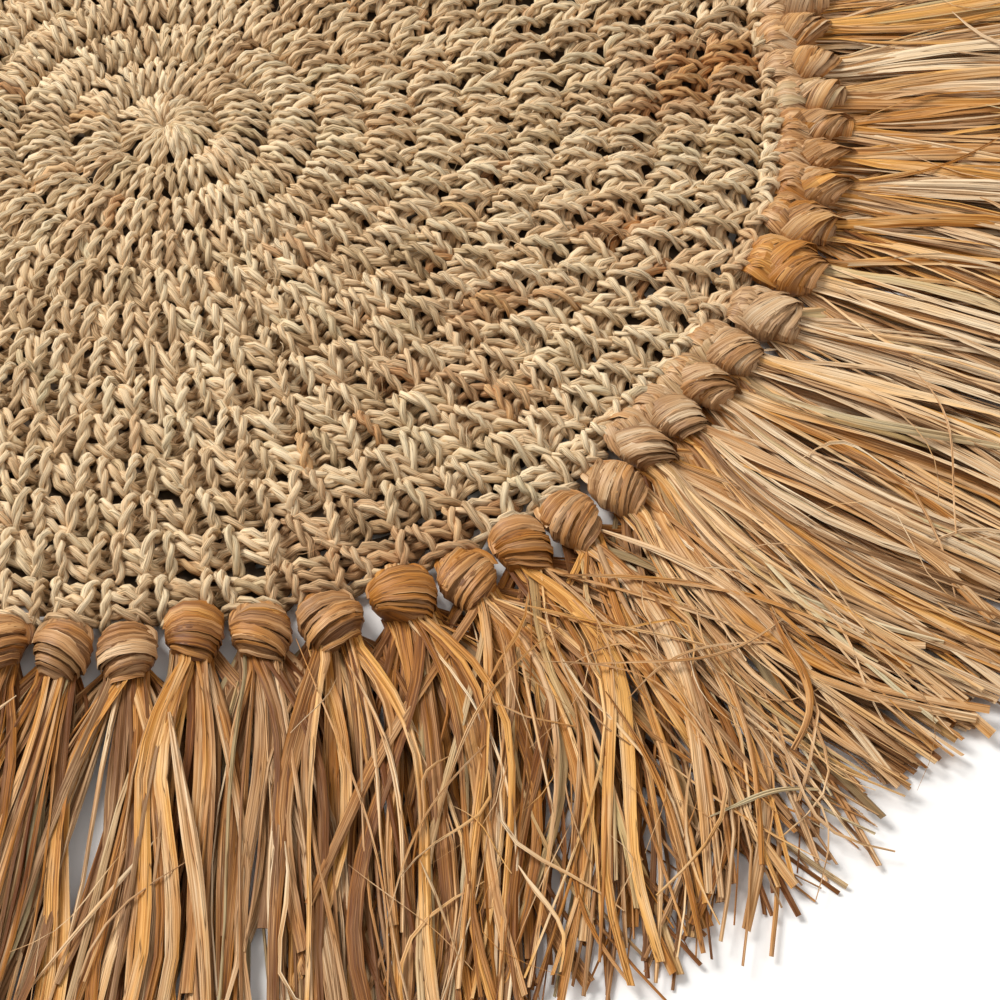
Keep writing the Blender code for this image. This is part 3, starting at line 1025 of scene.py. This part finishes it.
def fringe_tips(rng, tassel, across):
    """Each tip's distance from the middle of the mat, and its place aside in its tassel.

    Both are uneven by a little, and by more with the square of the tassel's disorder.
    """
    count = len(across)
    disorder = DISORDER[tassel]
    uneven = (1.7 + 5.0 * disorder ** 2) * MM
    radius = TIPS[tassel] * MM + rng.normal(0.0, uneven, count) + rng.normal(0.0, 1.2 * MM)
    short = rng.random(count) < SHORT_SHARE
    radius = radius - np.where(short, rng.uniform(0.0, SHORT_MOST, count), 0.0)
    wild = rng.normal(0.0, 1.0, count) * (1.6 + 15.0 * disorder ** 2) * MM
    return radius, across * FAN_SHARE * PITCH[tassel] * TIP_RING + wild


def fringe_bends(rng, tassel, clump):
    """How far each ribbon bows and sways: with its clump, on its own, and with its tassel."""
    count = len(clump)
    disorder = DISORDER[tassel]
    bow = rng.normal(0.0, 1.0, CLUMPS)[clump] * (3.2 + 4.5 * disorder) * MM
    bow = bow + rng.normal(0.0, 1.0, count) * (0.9 + 4.5 * disorder ** 2) * MM
    bow = bow + BOW[tassel] * MM
    sway = rng.normal(0.0, 1.0, CLUMPS)[clump] * (0.8 + 2.2 * disorder) * MM
    sway = sway + rng.normal(0.0, 1.0, count) * (0.25 + 0.9 * disorder) * MM
    return bow, sway


def fringe_paths(rng, tassel, count, samples, layer):
    """Paths of loose ribbons: out of the neck in a bunch, then apart, settling in layers.

    With part the part of the way from neck to tip, a ribbon lies aside by its place at the
    neck opened towards that of its tip, plus the lean times part ** 1.3, the bow times
    sin(pi · part) and the sway times sin(2 pi · part). Its height goes from the neck's to its
    layer of the heap as 1 - exp(-part / NECK_SINKS_OVER).
    """
    clump, across, layer = fringe_places(rng, count, layer)
    in_neck = np.clip(across, -1.0, 1.0)
    half = NECK_HALF * min(KNOT_LEFT[tassel], KNOT_RIGHT[tassel]) * GIRTH[tassel]
    root_aside = in_neck * half
    rounding = np.sqrt(1.0 - 0.75 * in_neck ** 2)
    root_height = NECK_LOW + NECK_TALL * layer * rounding * GIRTH[tassel]
    tip_radius, tip_aside = fringe_tips(rng, tassel, across)
    lean = LEAN[tassel] * MM - KNOT_TURN[tassel] * FRINGE_LENGTH
    centre = KNOT_RING + OUTWARDS[tassel] * MM
    tip = np.sqrt(tip_radius ** 2 - (tip_aside + lean) ** 2) - centre
    bow, sway = fringe_bends(rng, tassel, clump)
    rows = []
    for part, above, below in zip(NECK_PARTS, NECK_OPENED, NECK_OPENED_BELOW):
        opened = np.where(layer < LOW_LAYER, below, above)
        outwards = NECK + part * (tip - NECK)
        way = max(0.0, part)
        aside = root_aside + (tip_aside - root_aside) * opened + lean * way ** 1.3
        aside = aside + bow * math.sin(math.pi * way) + sway * math.sin(FULL_TURN * way)
        aside = aside + spread_of(rng, count, 0.18 * MM if part > 0.0 else 0.10 * MM)
        rest = HEAP_FLOOR + layer * heap_height(centre + outwards)
        height = rest + (root_height - rest) * math.exp(-way / NECK_SINKS_OVER)
        if part > 0.1:
            height = height + spread_of(rng, count, 0.4 * MM)
        rows.append(at_knot(tassel, outwards, aside, np.maximum(height, RIBBON_FLOOR)))
    return smooth_paths(np.stack(rows, axis=1), samples, ease=FRINGE_EASE), clump


def ribbon_widths(rng, count, samples, least, most, wisp):
    """Half widths along each ribbon: wavering a little, and narrower towards the tip."""
    steps = np.linspace(0.0, 1.0, samples)[None, :]
    wide = rng.uniform(least, most, (count, 1)) * MM
    waves = steps * rng.uniform(0.6, 1.8, (count, 1)) + rng.random((count, 1))
    return wide * (1.0 + 0.16 * np.sin(FULL_TURN * waves)) * (1.05 - wisp * steps ** 1.5)


def ribbon_rolls(rng, count, samples, tilt, twist):
    """How each ribbon is turned about itself: a tilt and a slow twist along it."""
    steps = np.linspace(0.0, 1.0, samples)[None, :]
    phase = rng.uniform(0.0, FULL_TURN, (count, 1))
    turns = rng.uniform(0.4, 1.4, (count, 1))
    return spread_of(rng, (count, 1), tilt) + twist * np.sin(FULL_TURN * turns * steps + phase)


def fringe_finish_and_shading(rng, tassel, clump, layer, samples):
    """Finish along each loose ribbon.

    Its warmth follows its tassel and its clump, and is higher near the neck. Its tone rises
    to the right as painted light, and from the lowest layer to the highest as painted shade;
    straw tassels are paler still, and brown ones a little deeper.
    """
    count = len(clump)
    own = FRINGE_WARMTH[tassel]
    warmth = 0.76 * own + 0.20 * KNOT_WARMTH[tassel] + 0.18 * (1.0 - PAINTED_RIGHT_LIGHT[tassel])
    warmth = warmth + rng.normal(0.0, 0.32, CLUMPS)[clump]
    # Painted light and shade: paler to the right, darker in the lower layers
    tone = 0.16 + 0.41 * PAINTED_RIGHT_LIGHT[tassel] + 0.62 * (layer - 0.5)
    tone = tone + 1.9 * max(0.0, 0.30 - own) - 0.12 * max(0.0, own - 0.5)
    finish_and_shading = raffia_finish(rng, count, warmth, tone, tone_spread=0.23)
    finish_and_shading = np.repeat(finish_and_shading[:, None, :], samples, axis=1)
    near = np.exp(-np.linspace(0.0, 1.0, samples) / 0.25)
    finish_and_shading[..., 1] += 0.30 * near - 0.06
    finish_and_shading[..., 0] -= 0.08 * near
    return finish_and_shading[:, :, None, :]


def fringe_block(tassel, kind):
    """The loose ribbons of one kind in one tassel."""
    rng = dice(FRINGE_DICE, tassel, kind)
    count, samples, outline, least, most, flat, folded, low, high, tilt, twist = FRINGE[kind]
    if DISORDER[tassel] > UNTIDY_FROM:
        samples += UNTIDY_SAMPLES
    layer = rng.uniform(low, high, count)
    paths, clump = fringe_paths(rng, tassel, count, samples, layer)
    width = ribbon_widths(rng, count, samples, least, most, 0.15 + 0.22 * DISORDER[tassel])
    fold = width * rng.uniform(flat, folded, (count, 1)) + 0.12 * MM
    roll = ribbon_rolls(rng, count, samples, tilt, twist)
    finish_and_shading = fringe_finish_and_shading(rng, tassel, clump, layer, samples)
    return ribbon_block(paths, level_guide(paths), outline, width, fold, roll, finish_and_shading)


# Stray ribbons

LONG_STRAYS = (
    # degrees and mm from the middle at its start, the same at its end, mm of bow aside,
    # half width in mm, warmth, tone, green tint
    (-58.6, 187.0, -47.2, 257.0, 6.0, 1.3, 0.80, 0.58, 0.0),
    (-61.8, 213.0, -50.2, 229.0, -6.0, 0.6, 0.55, 0.78, 0.0),
    (-50.2, 225.0, -55.3, 257.0, 5.0, 1.4, 0.88, 0.50, 0.0),
    (-56.3, 236.0, -56.0, 283.0, 2.5, 0.7, 0.35, 0.78, 0.0),
    (-61.0, 261.0, -55.7, 268.0, 2.0, 0.9, 0.10, 0.80, 0.8),
    (-28.7, 207.0, -38.9, 242.0, 5.0, 0.4, 0.35, 0.76, 0.0),
    (-11.8, 176.0, -5.8, 216.0, -5.0, 0.6, 0.82, 0.50, 0.0),
    (-4.5, 178.0, -1.9, 218.0, 3.0, 0.5, 0.85, 0.55, 0.0),
    (-60.7, 226.0, -51.8, 232.0, 5.0, 0.5, 0.45, 0.80, 0.0),
    (-19.4, 193.0, -18.5, 224.0, 2.0, 1.0, 0.22, 0.76, 0.1),
    (-48.3, 225.0, -50.7, 265.0, 3.5, 0.45, 0.30, 0.78, 0.0),
    (-73.4, 237.0, -61.3, 200.0, 5.0, 0.5, 0.60, 0.70, 0.0),
    (-77.6, 261.0, -69.4, 223.0, 4.0, 0.4, 0.50, 0.72, 0.0),
    (-75.3, 190.0, -76.9, 262.0, 5.0, 0.8, 0.38, 0.78, 0.0),
    (-78.3, 179.0, -78.7, 284.0, 6.0, 0.4, 0.62, 0.62, 0.0),
    (-61.6, 222.0, -64.8, 290.0, 4.0, 1.2, 0.84, 0.46, 0.0),
    (-63.2, 218.0, -68.2, 290.0, -6.0, 0.9, 0.72, 0.50, 0.0),
    (-54.0, 180.0, -51.4, 243.0, 5.0, 2.0, 0.48, 0.68, 0.0),
    (-35.5, 180.0, -31.5, 244.0, -4.0, 1.7, 0.12, 0.60, 0.7),
    (-87.6, 196.0, -86.4, 286.0, 2.0, 2.4, 0.34, 0.62, 0.0),
)
LONG_STRAY_SAMPLES = 14

# Short ribbons that lie across one tassel: where they start, how long they are, how far they
# turn from straight outwards, and how far out they may reach
STRAY_SAMPLES = 8
STRAY_FROM = (0.186, 0.256)
STRAY_LENGTH = (0.018, 0.052)
STRAY_TURN_MOST = 0.85
STRAY_OUT_MOST = 0.290

# Strays lie this much over the heap
STRAY_LIFT = 0.5 * MM


def level_points(places):
    """Level places from rows of angle and radius: radius times cosine and sine."""
    angle, radius = places.T
    return np.stack([radius * np.cos(angle), radius * np.sin(angle)], axis=1)


def crossing_paths(rng, start, end, bow, samples):
    """Paths from start to end (angle and radius), bowed aside, lying over the heap.

    The bow is a half sine wave along the path with a little of a whole one.
    """
    begin = level_points(start)
    straight = level_points(end) - begin
    step = np.linspace(0.0, 1.0, samples)[None, :, None]
    aside = unit(straight)[:, ::-1] * np.array([-1.0, 1.0])
    waver = rng.normal(0.0, 0.25, (len(start), 1, 1)) * np.sin(FULL_TURN * step)
    level = begin[:, None] + straight[:, None] * step
    level = level + aside[:, None] * bow[:, None, None] * (np.sin(math.pi * step) + waver)
    radius = np.hypot(level[..., 0], level[..., 1])
    rise = rng.uniform(-0.6, 0.6, (len(start), 1)) * MM
    rise = rise + 1.2 * MM * rng.random((len(start), 1)) * np.sin(math.pi * step[..., 0])
    height = STRAY_LIFT + heap_height(radius) + rise
    return np.concatenate([level, height[..., None]], axis=-1)


def stray_widths(wide, samples, thinned, opened):
    """Half widths along strays: pointed at the start, full once opened, thinned to the tip."""
    steps = np.linspace(0.0, 1.0, samples)[None, :]
    return wide * (1.0 - thinned * steps) * (0.15 + 0.85 * np.clip(steps / opened, 0.0, 1.0))


def long_strays():
    """The long ribbons that lie across the fringe where they show."""
    rng = dice(LONG_STRAY_DICE)
    (start_degrees, start_mm, end_degrees, end_mm, bow_mm, half_mm, warmth, tone,
     green) = np.array(LONG_STRAYS).T
    start = np.stack([np.radians(start_degrees), start_mm * MM], axis=1)
    end = np.stack([np.radians(end_degrees), end_mm * MM], axis=1)
    count = len(LONG_STRAYS)
    paths = crossing_paths(rng, start, end, bow_mm * MM, LONG_STRAY_SAMPLES)
    width = stray_widths(half_mm[:, None] * MM, LONG_STRAY_SAMPLES, thinned=0.55, opened=0.4)
    fold = 0.30 * width + 0.12 * MM
    roll = ribbon_rolls(rng, count, LONG_STRAY_SAMPLES, tilt=0.25, twist=0.35)
    finish_and_shading = np.stack([tone, warmth, rng.random(count), green], axis=1)
    return ribbon_block(paths, level_guide(paths), CREASED, width, fold, roll, finish_and_shading)


def tassel_strays(tassel):
    """A few ribbons that lie across a tassel at an angle.

    Their number is 1 + 3 · disorder + 13 · disorder³, rounded.
    """
    rng = dice(STRAY_DICE, tassel)
    disorder = DISORDER[tassel]
    count = 1 + int(round(3.0 * disorder + 13.0 * disorder ** 3))
    radius = rng.uniform(*STRAY_FROM, count)
    angle = KNOT_ANGLES[tassel] + spread_of(rng, count, 0.5 * PITCH[tassel])
    length = rng.uniform(*STRAY_LENGTH, count)
    side = rng.choice((-1.0, 1.0), count)
    turned = side * rng.uniform(0.15, 1.0, count) ** 1.6 * STRAY_TURN_MOST
    outwards = radius + length * np.cos(turned)
    aside = length * np.sin(turned)
    reached = np.minimum(np.hypot(outwards, aside), STRAY_OUT_MOST)
    start = np.stack([angle, radius], axis=1)
    end = np.stack([angle + np.arctan2(aside, outwards), reached], axis=1)
    paths = crossing_paths(rng, start, end, rng.normal(0.0, 0.17, count) * length, STRAY_SAMPLES)
    wide = (0.14 + 0.62 * rng.random((count, 1)) ** 2) * MM
    width = stray_widths(wide, STRAY_SAMPLES, thinned=0.65, opened=0.3)
    roll = ribbon_rolls(rng, count, STRAY_SAMPLES, tilt=0.4, twist=0.4)
    warmth = 0.10 + 0.6 * FRINGE_WARMTH[tassel]
    finish_and_shading = raffia_finish(rng, count, warmth, tone=0.74, tone_spread=0.12)
    return ribbon_block(paths, level_guide(paths), ROOF, width, 0.4 * width, roll, finish_and_shading)


# Loose hairs on the crochet

# Their number, samples along each, how far out they lie, where they rise from, half width
HAIRS = 300
HAIR_SAMPLES = 7
HAIR_OUT_MOST = 0.158
HAIR_FROM_HEIGHT = 5.6 * MM
HAIR_HALF = 0.085 * MM


def make_hairs(material):
    """Fine broken fibres that curl up off the crocheted cord.

    Each heads on in short level steps that turn evenly, and rises and falls as a half sine.
    """
    rng = dice(HAIR_DICE)
    radius = HAIR_OUT_MOST * np.sqrt(rng.uniform(0.02, 1.0, HAIRS))
    angle = rng.uniform(0.0, FULL_TURN, HAIRS)
    heading = rng.uniform(0.0, FULL_TURN, HAIRS)
    length = rng.uniform(4.0, 13.0, HAIRS) * MM
    curl = rng.normal(0.0, 1.3, HAIRS)
    step = np.linspace(0.0, 1.0, HAIR_SAMPLES)[None, :]
    turned = heading[:, None] + curl[:, None] * step
    x = np.cumsum(np.cos(turned), axis=1) / HAIR_SAMPLES * length[:, None]
    y = np.cumsum(np.sin(turned), axis=1) / HAIR_SAMPLES * length[:, None]
    rise = rng.uniform(0.8, 3.4, (HAIRS, 1)) * MM * np.sin(math.pi * step) ** 0.8
    x = x + (radius * np.cos(angle))[:, None]
    y = y + (radius * np.sin(angle))[:, None]
    paths = np.stack([x, y, HAIR_FROM_HEIGHT + rise], axis=-1)
    width = np.broadcast_to(HAIR_HALF * (1.1 - 0.6 * step), (HAIRS, HAIR_SAMPLES))
    finish_and_shading = cord_finish_and_light(rng, paths, tone=0.80, spread=0.10)
    block = ribbon_block(paths, level_guide(paths), HAIR, width, width, NO_ROLL, finish_and_shading)
    return build_piece("loose_hairs", [block], material)


# Groups of tassels

# Ribbons stay sharp along creases steeper than this
SHARP_DEGREES = 40.0


def node_of(tassel):
    """Name of the solid that holds a tassel: two neighbours share one."""
    return "tassels_%02d" % (tassel // TASSELS_IN_NODE + 1)


def make_fringe(raffia, wound):
    """Tassels in groups: their knots, and the loose ribbons that come out of them.

    Gives each piece with the names of the solids that it stands for. The first group, at the
    front, holds the long strays too.
    """
    pieces = []
    for first in range(0, TASSELS, TASSELS_IN_GROUP):
        group = range(first, first + TASSELS_IN_GROUP)
        knots = []
        loose = []
        for tassel in group:
            knots += [knot_body(tassel), hook_ribbons(tassel), wrap_strips(tassel)]
            loose += [fringe_block(tassel, 0), fringe_block(tassel, 1), tassel_strays(tassel)]
        if first == 0:
            loose.append(long_strays())
        number = first // TASSELS_IN_GROUP + 1
        nodes = sorted({node_of(tassel) for tassel in group})
        knot_piece = build_piece("knot_group_%02d" % number, knots, wound, SHARP_DEGREES)
        loose_piece = build_piece("fringe_group_%02d" % number, loose, raffia, SHARP_DEGREES)
        pieces += [(knot_piece, nodes), (loose_piece, nodes)]
    return pieces


# Materials

# Colour ramps from the darkest tone of a strand to its palest, and colours of its tint
TAN = (
    # place, colour
    (0.0, (0.240, 0.128, 0.052)), (0.45, (0.800, 0.560, 0.318)), (1.0, (0.980, 0.790, 0.525)),
)
RUST = (
    (0.0, (0.160, 0.055, 0.016)), (0.5, (0.460, 0.185, 0.055)), (1.0, (0.760, 0.420, 0.160)),
)
STRAW = (
    (0.0, (0.230, 0.112, 0.044)), (0.45, (0.570, 0.350, 0.178)), (1.0, (0.890, 0.700, 0.465)),
)
AMBER = (
    (0.0, (0.140, 0.040, 0.005)), (0.5, (0.470, 0.180, 0.028)), (1.0, (0.820, 0.430, 0.115)),
)
# Painted shade: the web's dark colours stand for cords in shadow under the stitches
WEB_SHADE = (
    (0.3, (0.026, 0.015, 0.007)), (0.7, (0.100, 0.060, 0.029)),
)
GREY_GREEN = (0.450, 0.430, 0.250)
LEAF_GREEN = (0.470, 0.450, 0.250)
FLOOR_COLOUR = (0.940, 0.920, 0.895)
WEB_GRAIN = 420.0

# Looks of the fibres. Streaks, stains and splits are noise, each with its scale for a
# centimetre along the strand and for a millimetre across it. The contrast is how far streaks
# move the tone, and the blush is how far a slow noise moves the warmth
# The splits are dark lines where the fibre splits, painted shade in those cracks
CORD_LOOK = {"streaks": (1.3, 3.4), "stains": (0.7, 0.3), "contrast": 1.8, "blush": 0.7,
             "splits": (0.7, 1.9), "split_width": 0.034, "split_shade_colour": (0.33, 0.21, 0.105),
             "relief": 0.30 * MM, "roughness": 0.75, "gloss": 0.15}
RAFFIA_LOOK = {"streaks": (0.30, 3.4), "stains": (0.30, 0.4), "contrast": 1.9, "blush": 2.1,
               "splits": (0.22, 0.9), "split_width": 0.016, "split_shade_colour": (0.17, 0.07, 0.020),
               "relief": 0.30 * MM, "roughness": 0.48, "gloss": 0.20}
WOUND_LOOK = {"streaks": (0.40, 2.9), "stains": (0.45, 0.4), "contrast": 1.3, "blush": 1.3,
              "splits": (0.34, 1.1), "split_width": 0.018, "split_shade_colour": (0.16, 0.060, 0.014),
              "relief": 0.22 * MM, "roughness": 0.42, "gloss": 0.28}

# Scales of that slow noise, how far stains move the tone, and how far streaks move the warmth
BLUSH_SCALES = (0.35, 0.25)
STAIN_SWING = 0.9
STREAK_COOLS = -0.5

# How far apart in the noise two strands lie, for each of the patterns
STREAKS_APART, STAINS_APART, BLUSHES_APART, SPLITS_APART = 53.0, 71.0, 29.0, 37.0


def new_material(name):
    """An empty node material with its tree and its Principled shader."""
    material = bpy.data.materials.new(name)
    material.use_nodes = True
    tree = material.node_tree
    return material, tree, tree.nodes["Principled BSDF"]


def add_node(tree, kind, **values):
    """A shader node with the given settings."""
    node = tree.nodes.new(kind)
    for key, value in values.items():
        setattr(node, key, value)
    return node


def add_math(tree, operation, first, second, clamp=False):
    """A math node on sockets or numbers; gives its output socket."""
    node = add_node(tree, "ShaderNodeMath", operation=operation, use_clamp=clamp)
    for slot, value in ((0, first), (1, second)):
        if hasattr(value, "is_output"):
            tree.links.new(value, node.inputs[slot])
        else:
            node.inputs[slot].default_value = value
    return node.outputs[0]


def add_mix(tree, factor, first, second):
    """A colour mix by a socket, on sockets or colours; gives its output socket."""
    node = add_node(tree, "ShaderNodeMix", data_type="RGBA")
    for slot, value in ((0, factor), (6, first), (7, second)):
        if hasattr(value, "is_output"):
            tree.links.new(value, node.inputs[slot])
        else:
            node.inputs[slot].default_value = (*value, 1.0)
    return node.outputs[2]


def add_ramp(tree, factor, stops):
    """A colour ramp with the given places and colours; gives its colour socket."""
    node = add_node(tree, "ShaderNodeValToRGB")
    ramp = node.color_ramp
    while len(ramp.elements) < len(stops):
        ramp.elements.new(0.5)
    for element, (place, colour) in zip(ramp.elements, stops):
        element.position = place
        element.color = (*colour, 1.0)
    tree.links.new(factor, node.inputs[0])
    return node.outputs[0]


def fibre_noise(tree, place, scales, detail):
    """Noise drawn out along the fibre: place is along, across and the strand's own number."""
    join = add_node(tree, "ShaderNodeCombineXYZ")
    for slot in range(3):
        tree.links.new(add_math(tree, "MULTIPLY", place[slot], scales[slot]), join.inputs[slot])
    noise = add_node(tree, "ShaderNodeTexNoise")
    noise.inputs["Scale"].default_value = 1.0
    noise.inputs["Detail"].default_value = detail
    noise.inputs["Roughness"].default_value = 0.62
    tree.links.new(join.outputs[0], noise.inputs["Vector"])
    return noise.outputs[0]


def swung(tree, value, noise, amount):
    """The value moved up and down by the noise about its middle, kept between 0 and 1."""
    swing = add_math(tree, "MULTIPLY", add_math(tree, "SUBTRACT", noise, 0.5), amount)
    return add_math(tree, "ADD", value, swing, clamp=True)


def split_lines(tree, place, scales, width):
    """Thin lines of painted shade along the fibre's splits: 0 where noise is at its middle, 1 away.
    """
    noise = fibre_noise(tree, place, (*scales, SPLITS_APART), 1.0)
    away = add_math(tree, "ABSOLUTE", add_math(tree, "SUBTRACT", noise, 0.5), 0.0)
    return add_math(tree, "DIVIDE", away, width, clamp=True)


def fibre_material(name, pale_ramp, warm_ramp, green, look):
    """Dry plant fibre: tone and warmth of each strand, drawn-out streaks, and fine relief.

    The tone, moved by streaks and stains, reads both ramps; the warmth, moved by blushes and
    streaks, mixes them; then come the green tint and the dark splits, painted shade in the cracks.
    """
    material, tree, shader = new_material(name)
    layer = add_node(tree, "ShaderNodeUVMap", uv_map="fibre_place")
    split = add_node(tree, "ShaderNodeSeparateXYZ")
    tree.links.new(layer.outputs[0], split.inputs[0])
    fibre = add_node(tree, "ShaderNodeAttribute", attribute_name="fibre")
    finish_and_shading = add_node(tree, "ShaderNodeSeparateColor")
    tree.links.new(fibre.outputs["Color"], finish_and_shading.inputs[0])
    tone, warmth, number = finish_and_shading.outputs[0], finish_and_shading.outputs[1], finish_and_shading.outputs[2]
    tint = fibre.outputs["Alpha"]
    place = (split.outputs[0], split.outputs[1], number)
    streak = fibre_noise(tree, place, (*look["streaks"], STREAKS_APART), 4.0)
    stain = fibre_noise(tree, place, (*look["stains"], STAINS_APART), 2.0)
    blush = fibre_noise(tree, place, (*BLUSH_SCALES, BLUSHES_APART), 2.0)
    lifted = swung(tree, swung(tree, tone, streak, look["contrast"]), stain, STAIN_SWING)
    warmed = swung(tree, swung(tree, warmth, blush, look["blush"]), streak, STREAK_COOLS)
    pale = add_ramp(tree, lifted, pale_ramp)
    warm = add_ramp(tree, lifted, warm_ramp)
    mixed = add_mix(tree, warmed, pale, warm)
    leafy = add_math(tree, "MULTIPLY", tint, stain)
    tinted = add_mix(tree, leafy, mixed, green)
    whole = split_lines(tree, place, look["splits"], look["split_width"])
    # Painted shade in the splits between fibres
    shaded = add_mix(tree, add_math(tree, "SUBTRACT", 1.0, whole), tinted, look["split_shade_colour"])
    tree.links.new(shaded, shader.inputs["Base Color"])
    bump = add_node(tree, "ShaderNodeBump")
    bump.inputs["Strength"].default_value = 0.9
    bump.inputs["Distance"].default_value = look["relief"]
    tree.links.new(add_math(tree, "MULTIPLY", streak, whole), bump.inputs["Height"])
    tree.links.new(bump.outputs[0], shader.inputs["Normal"])
    shader.inputs["Roughness"].default_value = look["roughness"]
    shader.inputs["Specular IOR Level"].default_value = look["gloss"]
    return material


def web_material():
    """The web, painted dark as the shade under the stitches, with a fine grain."""
    web, tree, shader = new_material("painted shade web")
    noise = add_node(tree, "ShaderNodeTexNoise")
    place = add_node(tree, "ShaderNodeTexCoord")
    tree.links.new(place.outputs["Object"], noise.inputs["Vector"])
    noise.inputs["Scale"].default_value = WEB_GRAIN
    tree.links.new(add_ramp(tree, noise.outputs[0], WEB_SHADE), shader.inputs["Base Color"])
    shader.inputs["Roughness"].default_value = 0.9
    return web


def floor_material():
    """The plain pale floor."""
    floor, _, shader = new_material("pale floor")
    shader.inputs["Base Color"].default_value = (*FLOOR_COLOUR, 1.0)
    shader.inputs["Roughness"].default_value = 0.6
    return floor


# Floor, camera and lights

FLOOR_HALF = 3.0

# The photo's view: the point of the table that it looks at and its distance, both as parts of
# the ring of knots, its tilt and roll, and its lens as a part of the film's width
VIEW_AIM = (0.492, -0.768)
VIEW_DISTANCE = 5.487
VIEW_TILT = 0.864
VIEW_ROLL = -0.036
VIEW_LENS = 3.9656
FILM_MM = 36.0

# Soft lamps turned to the middle of the mat: a key from the upper left behind and a weak fill
LAMPS = (
    # name, place, size, watts, colour
    ("key", (-1.38, 1.00, 1.72), 1.15, 71.0, (1.0, 0.985, 0.96)),
    ("fill", (1.2, -0.6, 1.2), 1.2, 5.0, (1.0, 0.985, 0.97)),
)
SURROUND_COLOUR = (1.0, 0.985, 0.97)
SURROUND_STRENGTH = 0.46


def make_floor(material):
    """A plain pale floor under the mat."""
    corners = [(-FLOOR_HALF, -FLOOR_HALF, 0.0), (FLOOR_HALF, -FLOOR_HALF, 0.0),
               (FLOOR_HALF, FLOOR_HALF, 0.0), (-FLOOR_HALF, FLOOR_HALF, 0.0)]
    mesh = bpy.data.meshes.new("floor")
    mesh.from_pydata(corners, [], [(0, 1, 2, 3)])
    floor = place_object("floor", mesh, material)


def make_camera():
    """The photo's view: back from its aim along its line of sight, and turned by its roll."""
    aim = Vector((VIEW_AIM[0] * KNOT_RING, VIEW_AIM[1] * KNOT_RING, 0.0))
    forward = Vector((0.0, math.cos(VIEW_TILT), -math.sin(VIEW_TILT)))
    right = Vector((1.0, 0.0, 0.0))
    up = right.cross(forward)
    turned_right = math.cos(VIEW_ROLL) * right + math.sin(VIEW_ROLL) * up
    turned_up = math.cos(VIEW_ROLL) * up - math.sin(VIEW_ROLL) * right
    camera = bpy.data.cameras.new("camera")
    camera.sensor_width = FILM_MM
    camera.lens = FILM_MM * VIEW_LENS
    holder = bpy.data.objects.new("camera", camera)
    turned = Matrix((turned_right, turned_up, -forward)).transposed().to_4x4()
    holder.matrix_world = Matrix.Translation(aim - VIEW_DISTANCE * KNOT_RING * forward) @ turned
    bpy.context.scene.collection.objects.link(holder)
    bpy.context.scene.camera = holder


def make_light(name, place, size, watts, colour):
    """A soft square lamp at a place, turned to the middle of the mat."""
    lamp = bpy.data.lights.new(name, "AREA")
    lamp.size = size
    lamp.energy = watts
    lamp.color = colour
    holder = bpy.data.objects.new(name, lamp)
    holder.location = place
    holder.rotation_euler = (-Vector(place)).to_track_quat("-Z", "Y").to_euler()
    bpy.context.scene.collection.objects.link(holder)


def make_lights():
    """Soft studio light: the lamps, and a pale surround."""
    for row in LAMPS:
        make_light(*row)
    world = bpy.data.worlds.new("surround")
    world.use_nodes = True
    shade = world.node_tree.nodes["Background"]
    shade.inputs["Color"].default_value = (*SURROUND_COLOUR, 1.0)
    shade.inputs["Strength"].default_value = SURROUND_STRENGTH
    bpy.context.scene.world = world
    bpy.context.scene.view_settings.view_transform = "Standard"


def main():
    """Build every piece, hide the solids that each stands in for, and set the view."""
    cord = fibre_material("twisted grass cord", TAN, RUST, GREY_GREEN, CORD_LOOK)
    raffia = fibre_material("raffia ribbon", STRAW, AMBER, LEAF_GREEN, RAFFIA_LOOK)
    wound = fibre_material("wound raffia", STRAW, AMBER, LEAF_GREEN, WOUND_LOOK)
    shade = web_material()
    pale = floor_material()
    crochet = [build_piece(name, crochet_blocks(first, end), cord)
               for name, first, end in CROCHET_PIECES]
    crochet += [build_piece("edge_round", edge_blocks(), cord), make_hairs(cord)]
    web = make_web(shade)
    fringe = make_fringe(raffia, wound)
    for piece in crochet + [web]:
        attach(piece, "root")
        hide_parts("mat")
    for piece, nodes in fringe:
        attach(piece, "root")
        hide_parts(*nodes)
    make_floor(pale)
    make_camera()
    make_lights()


main()
bpy.context.view_layer.update()
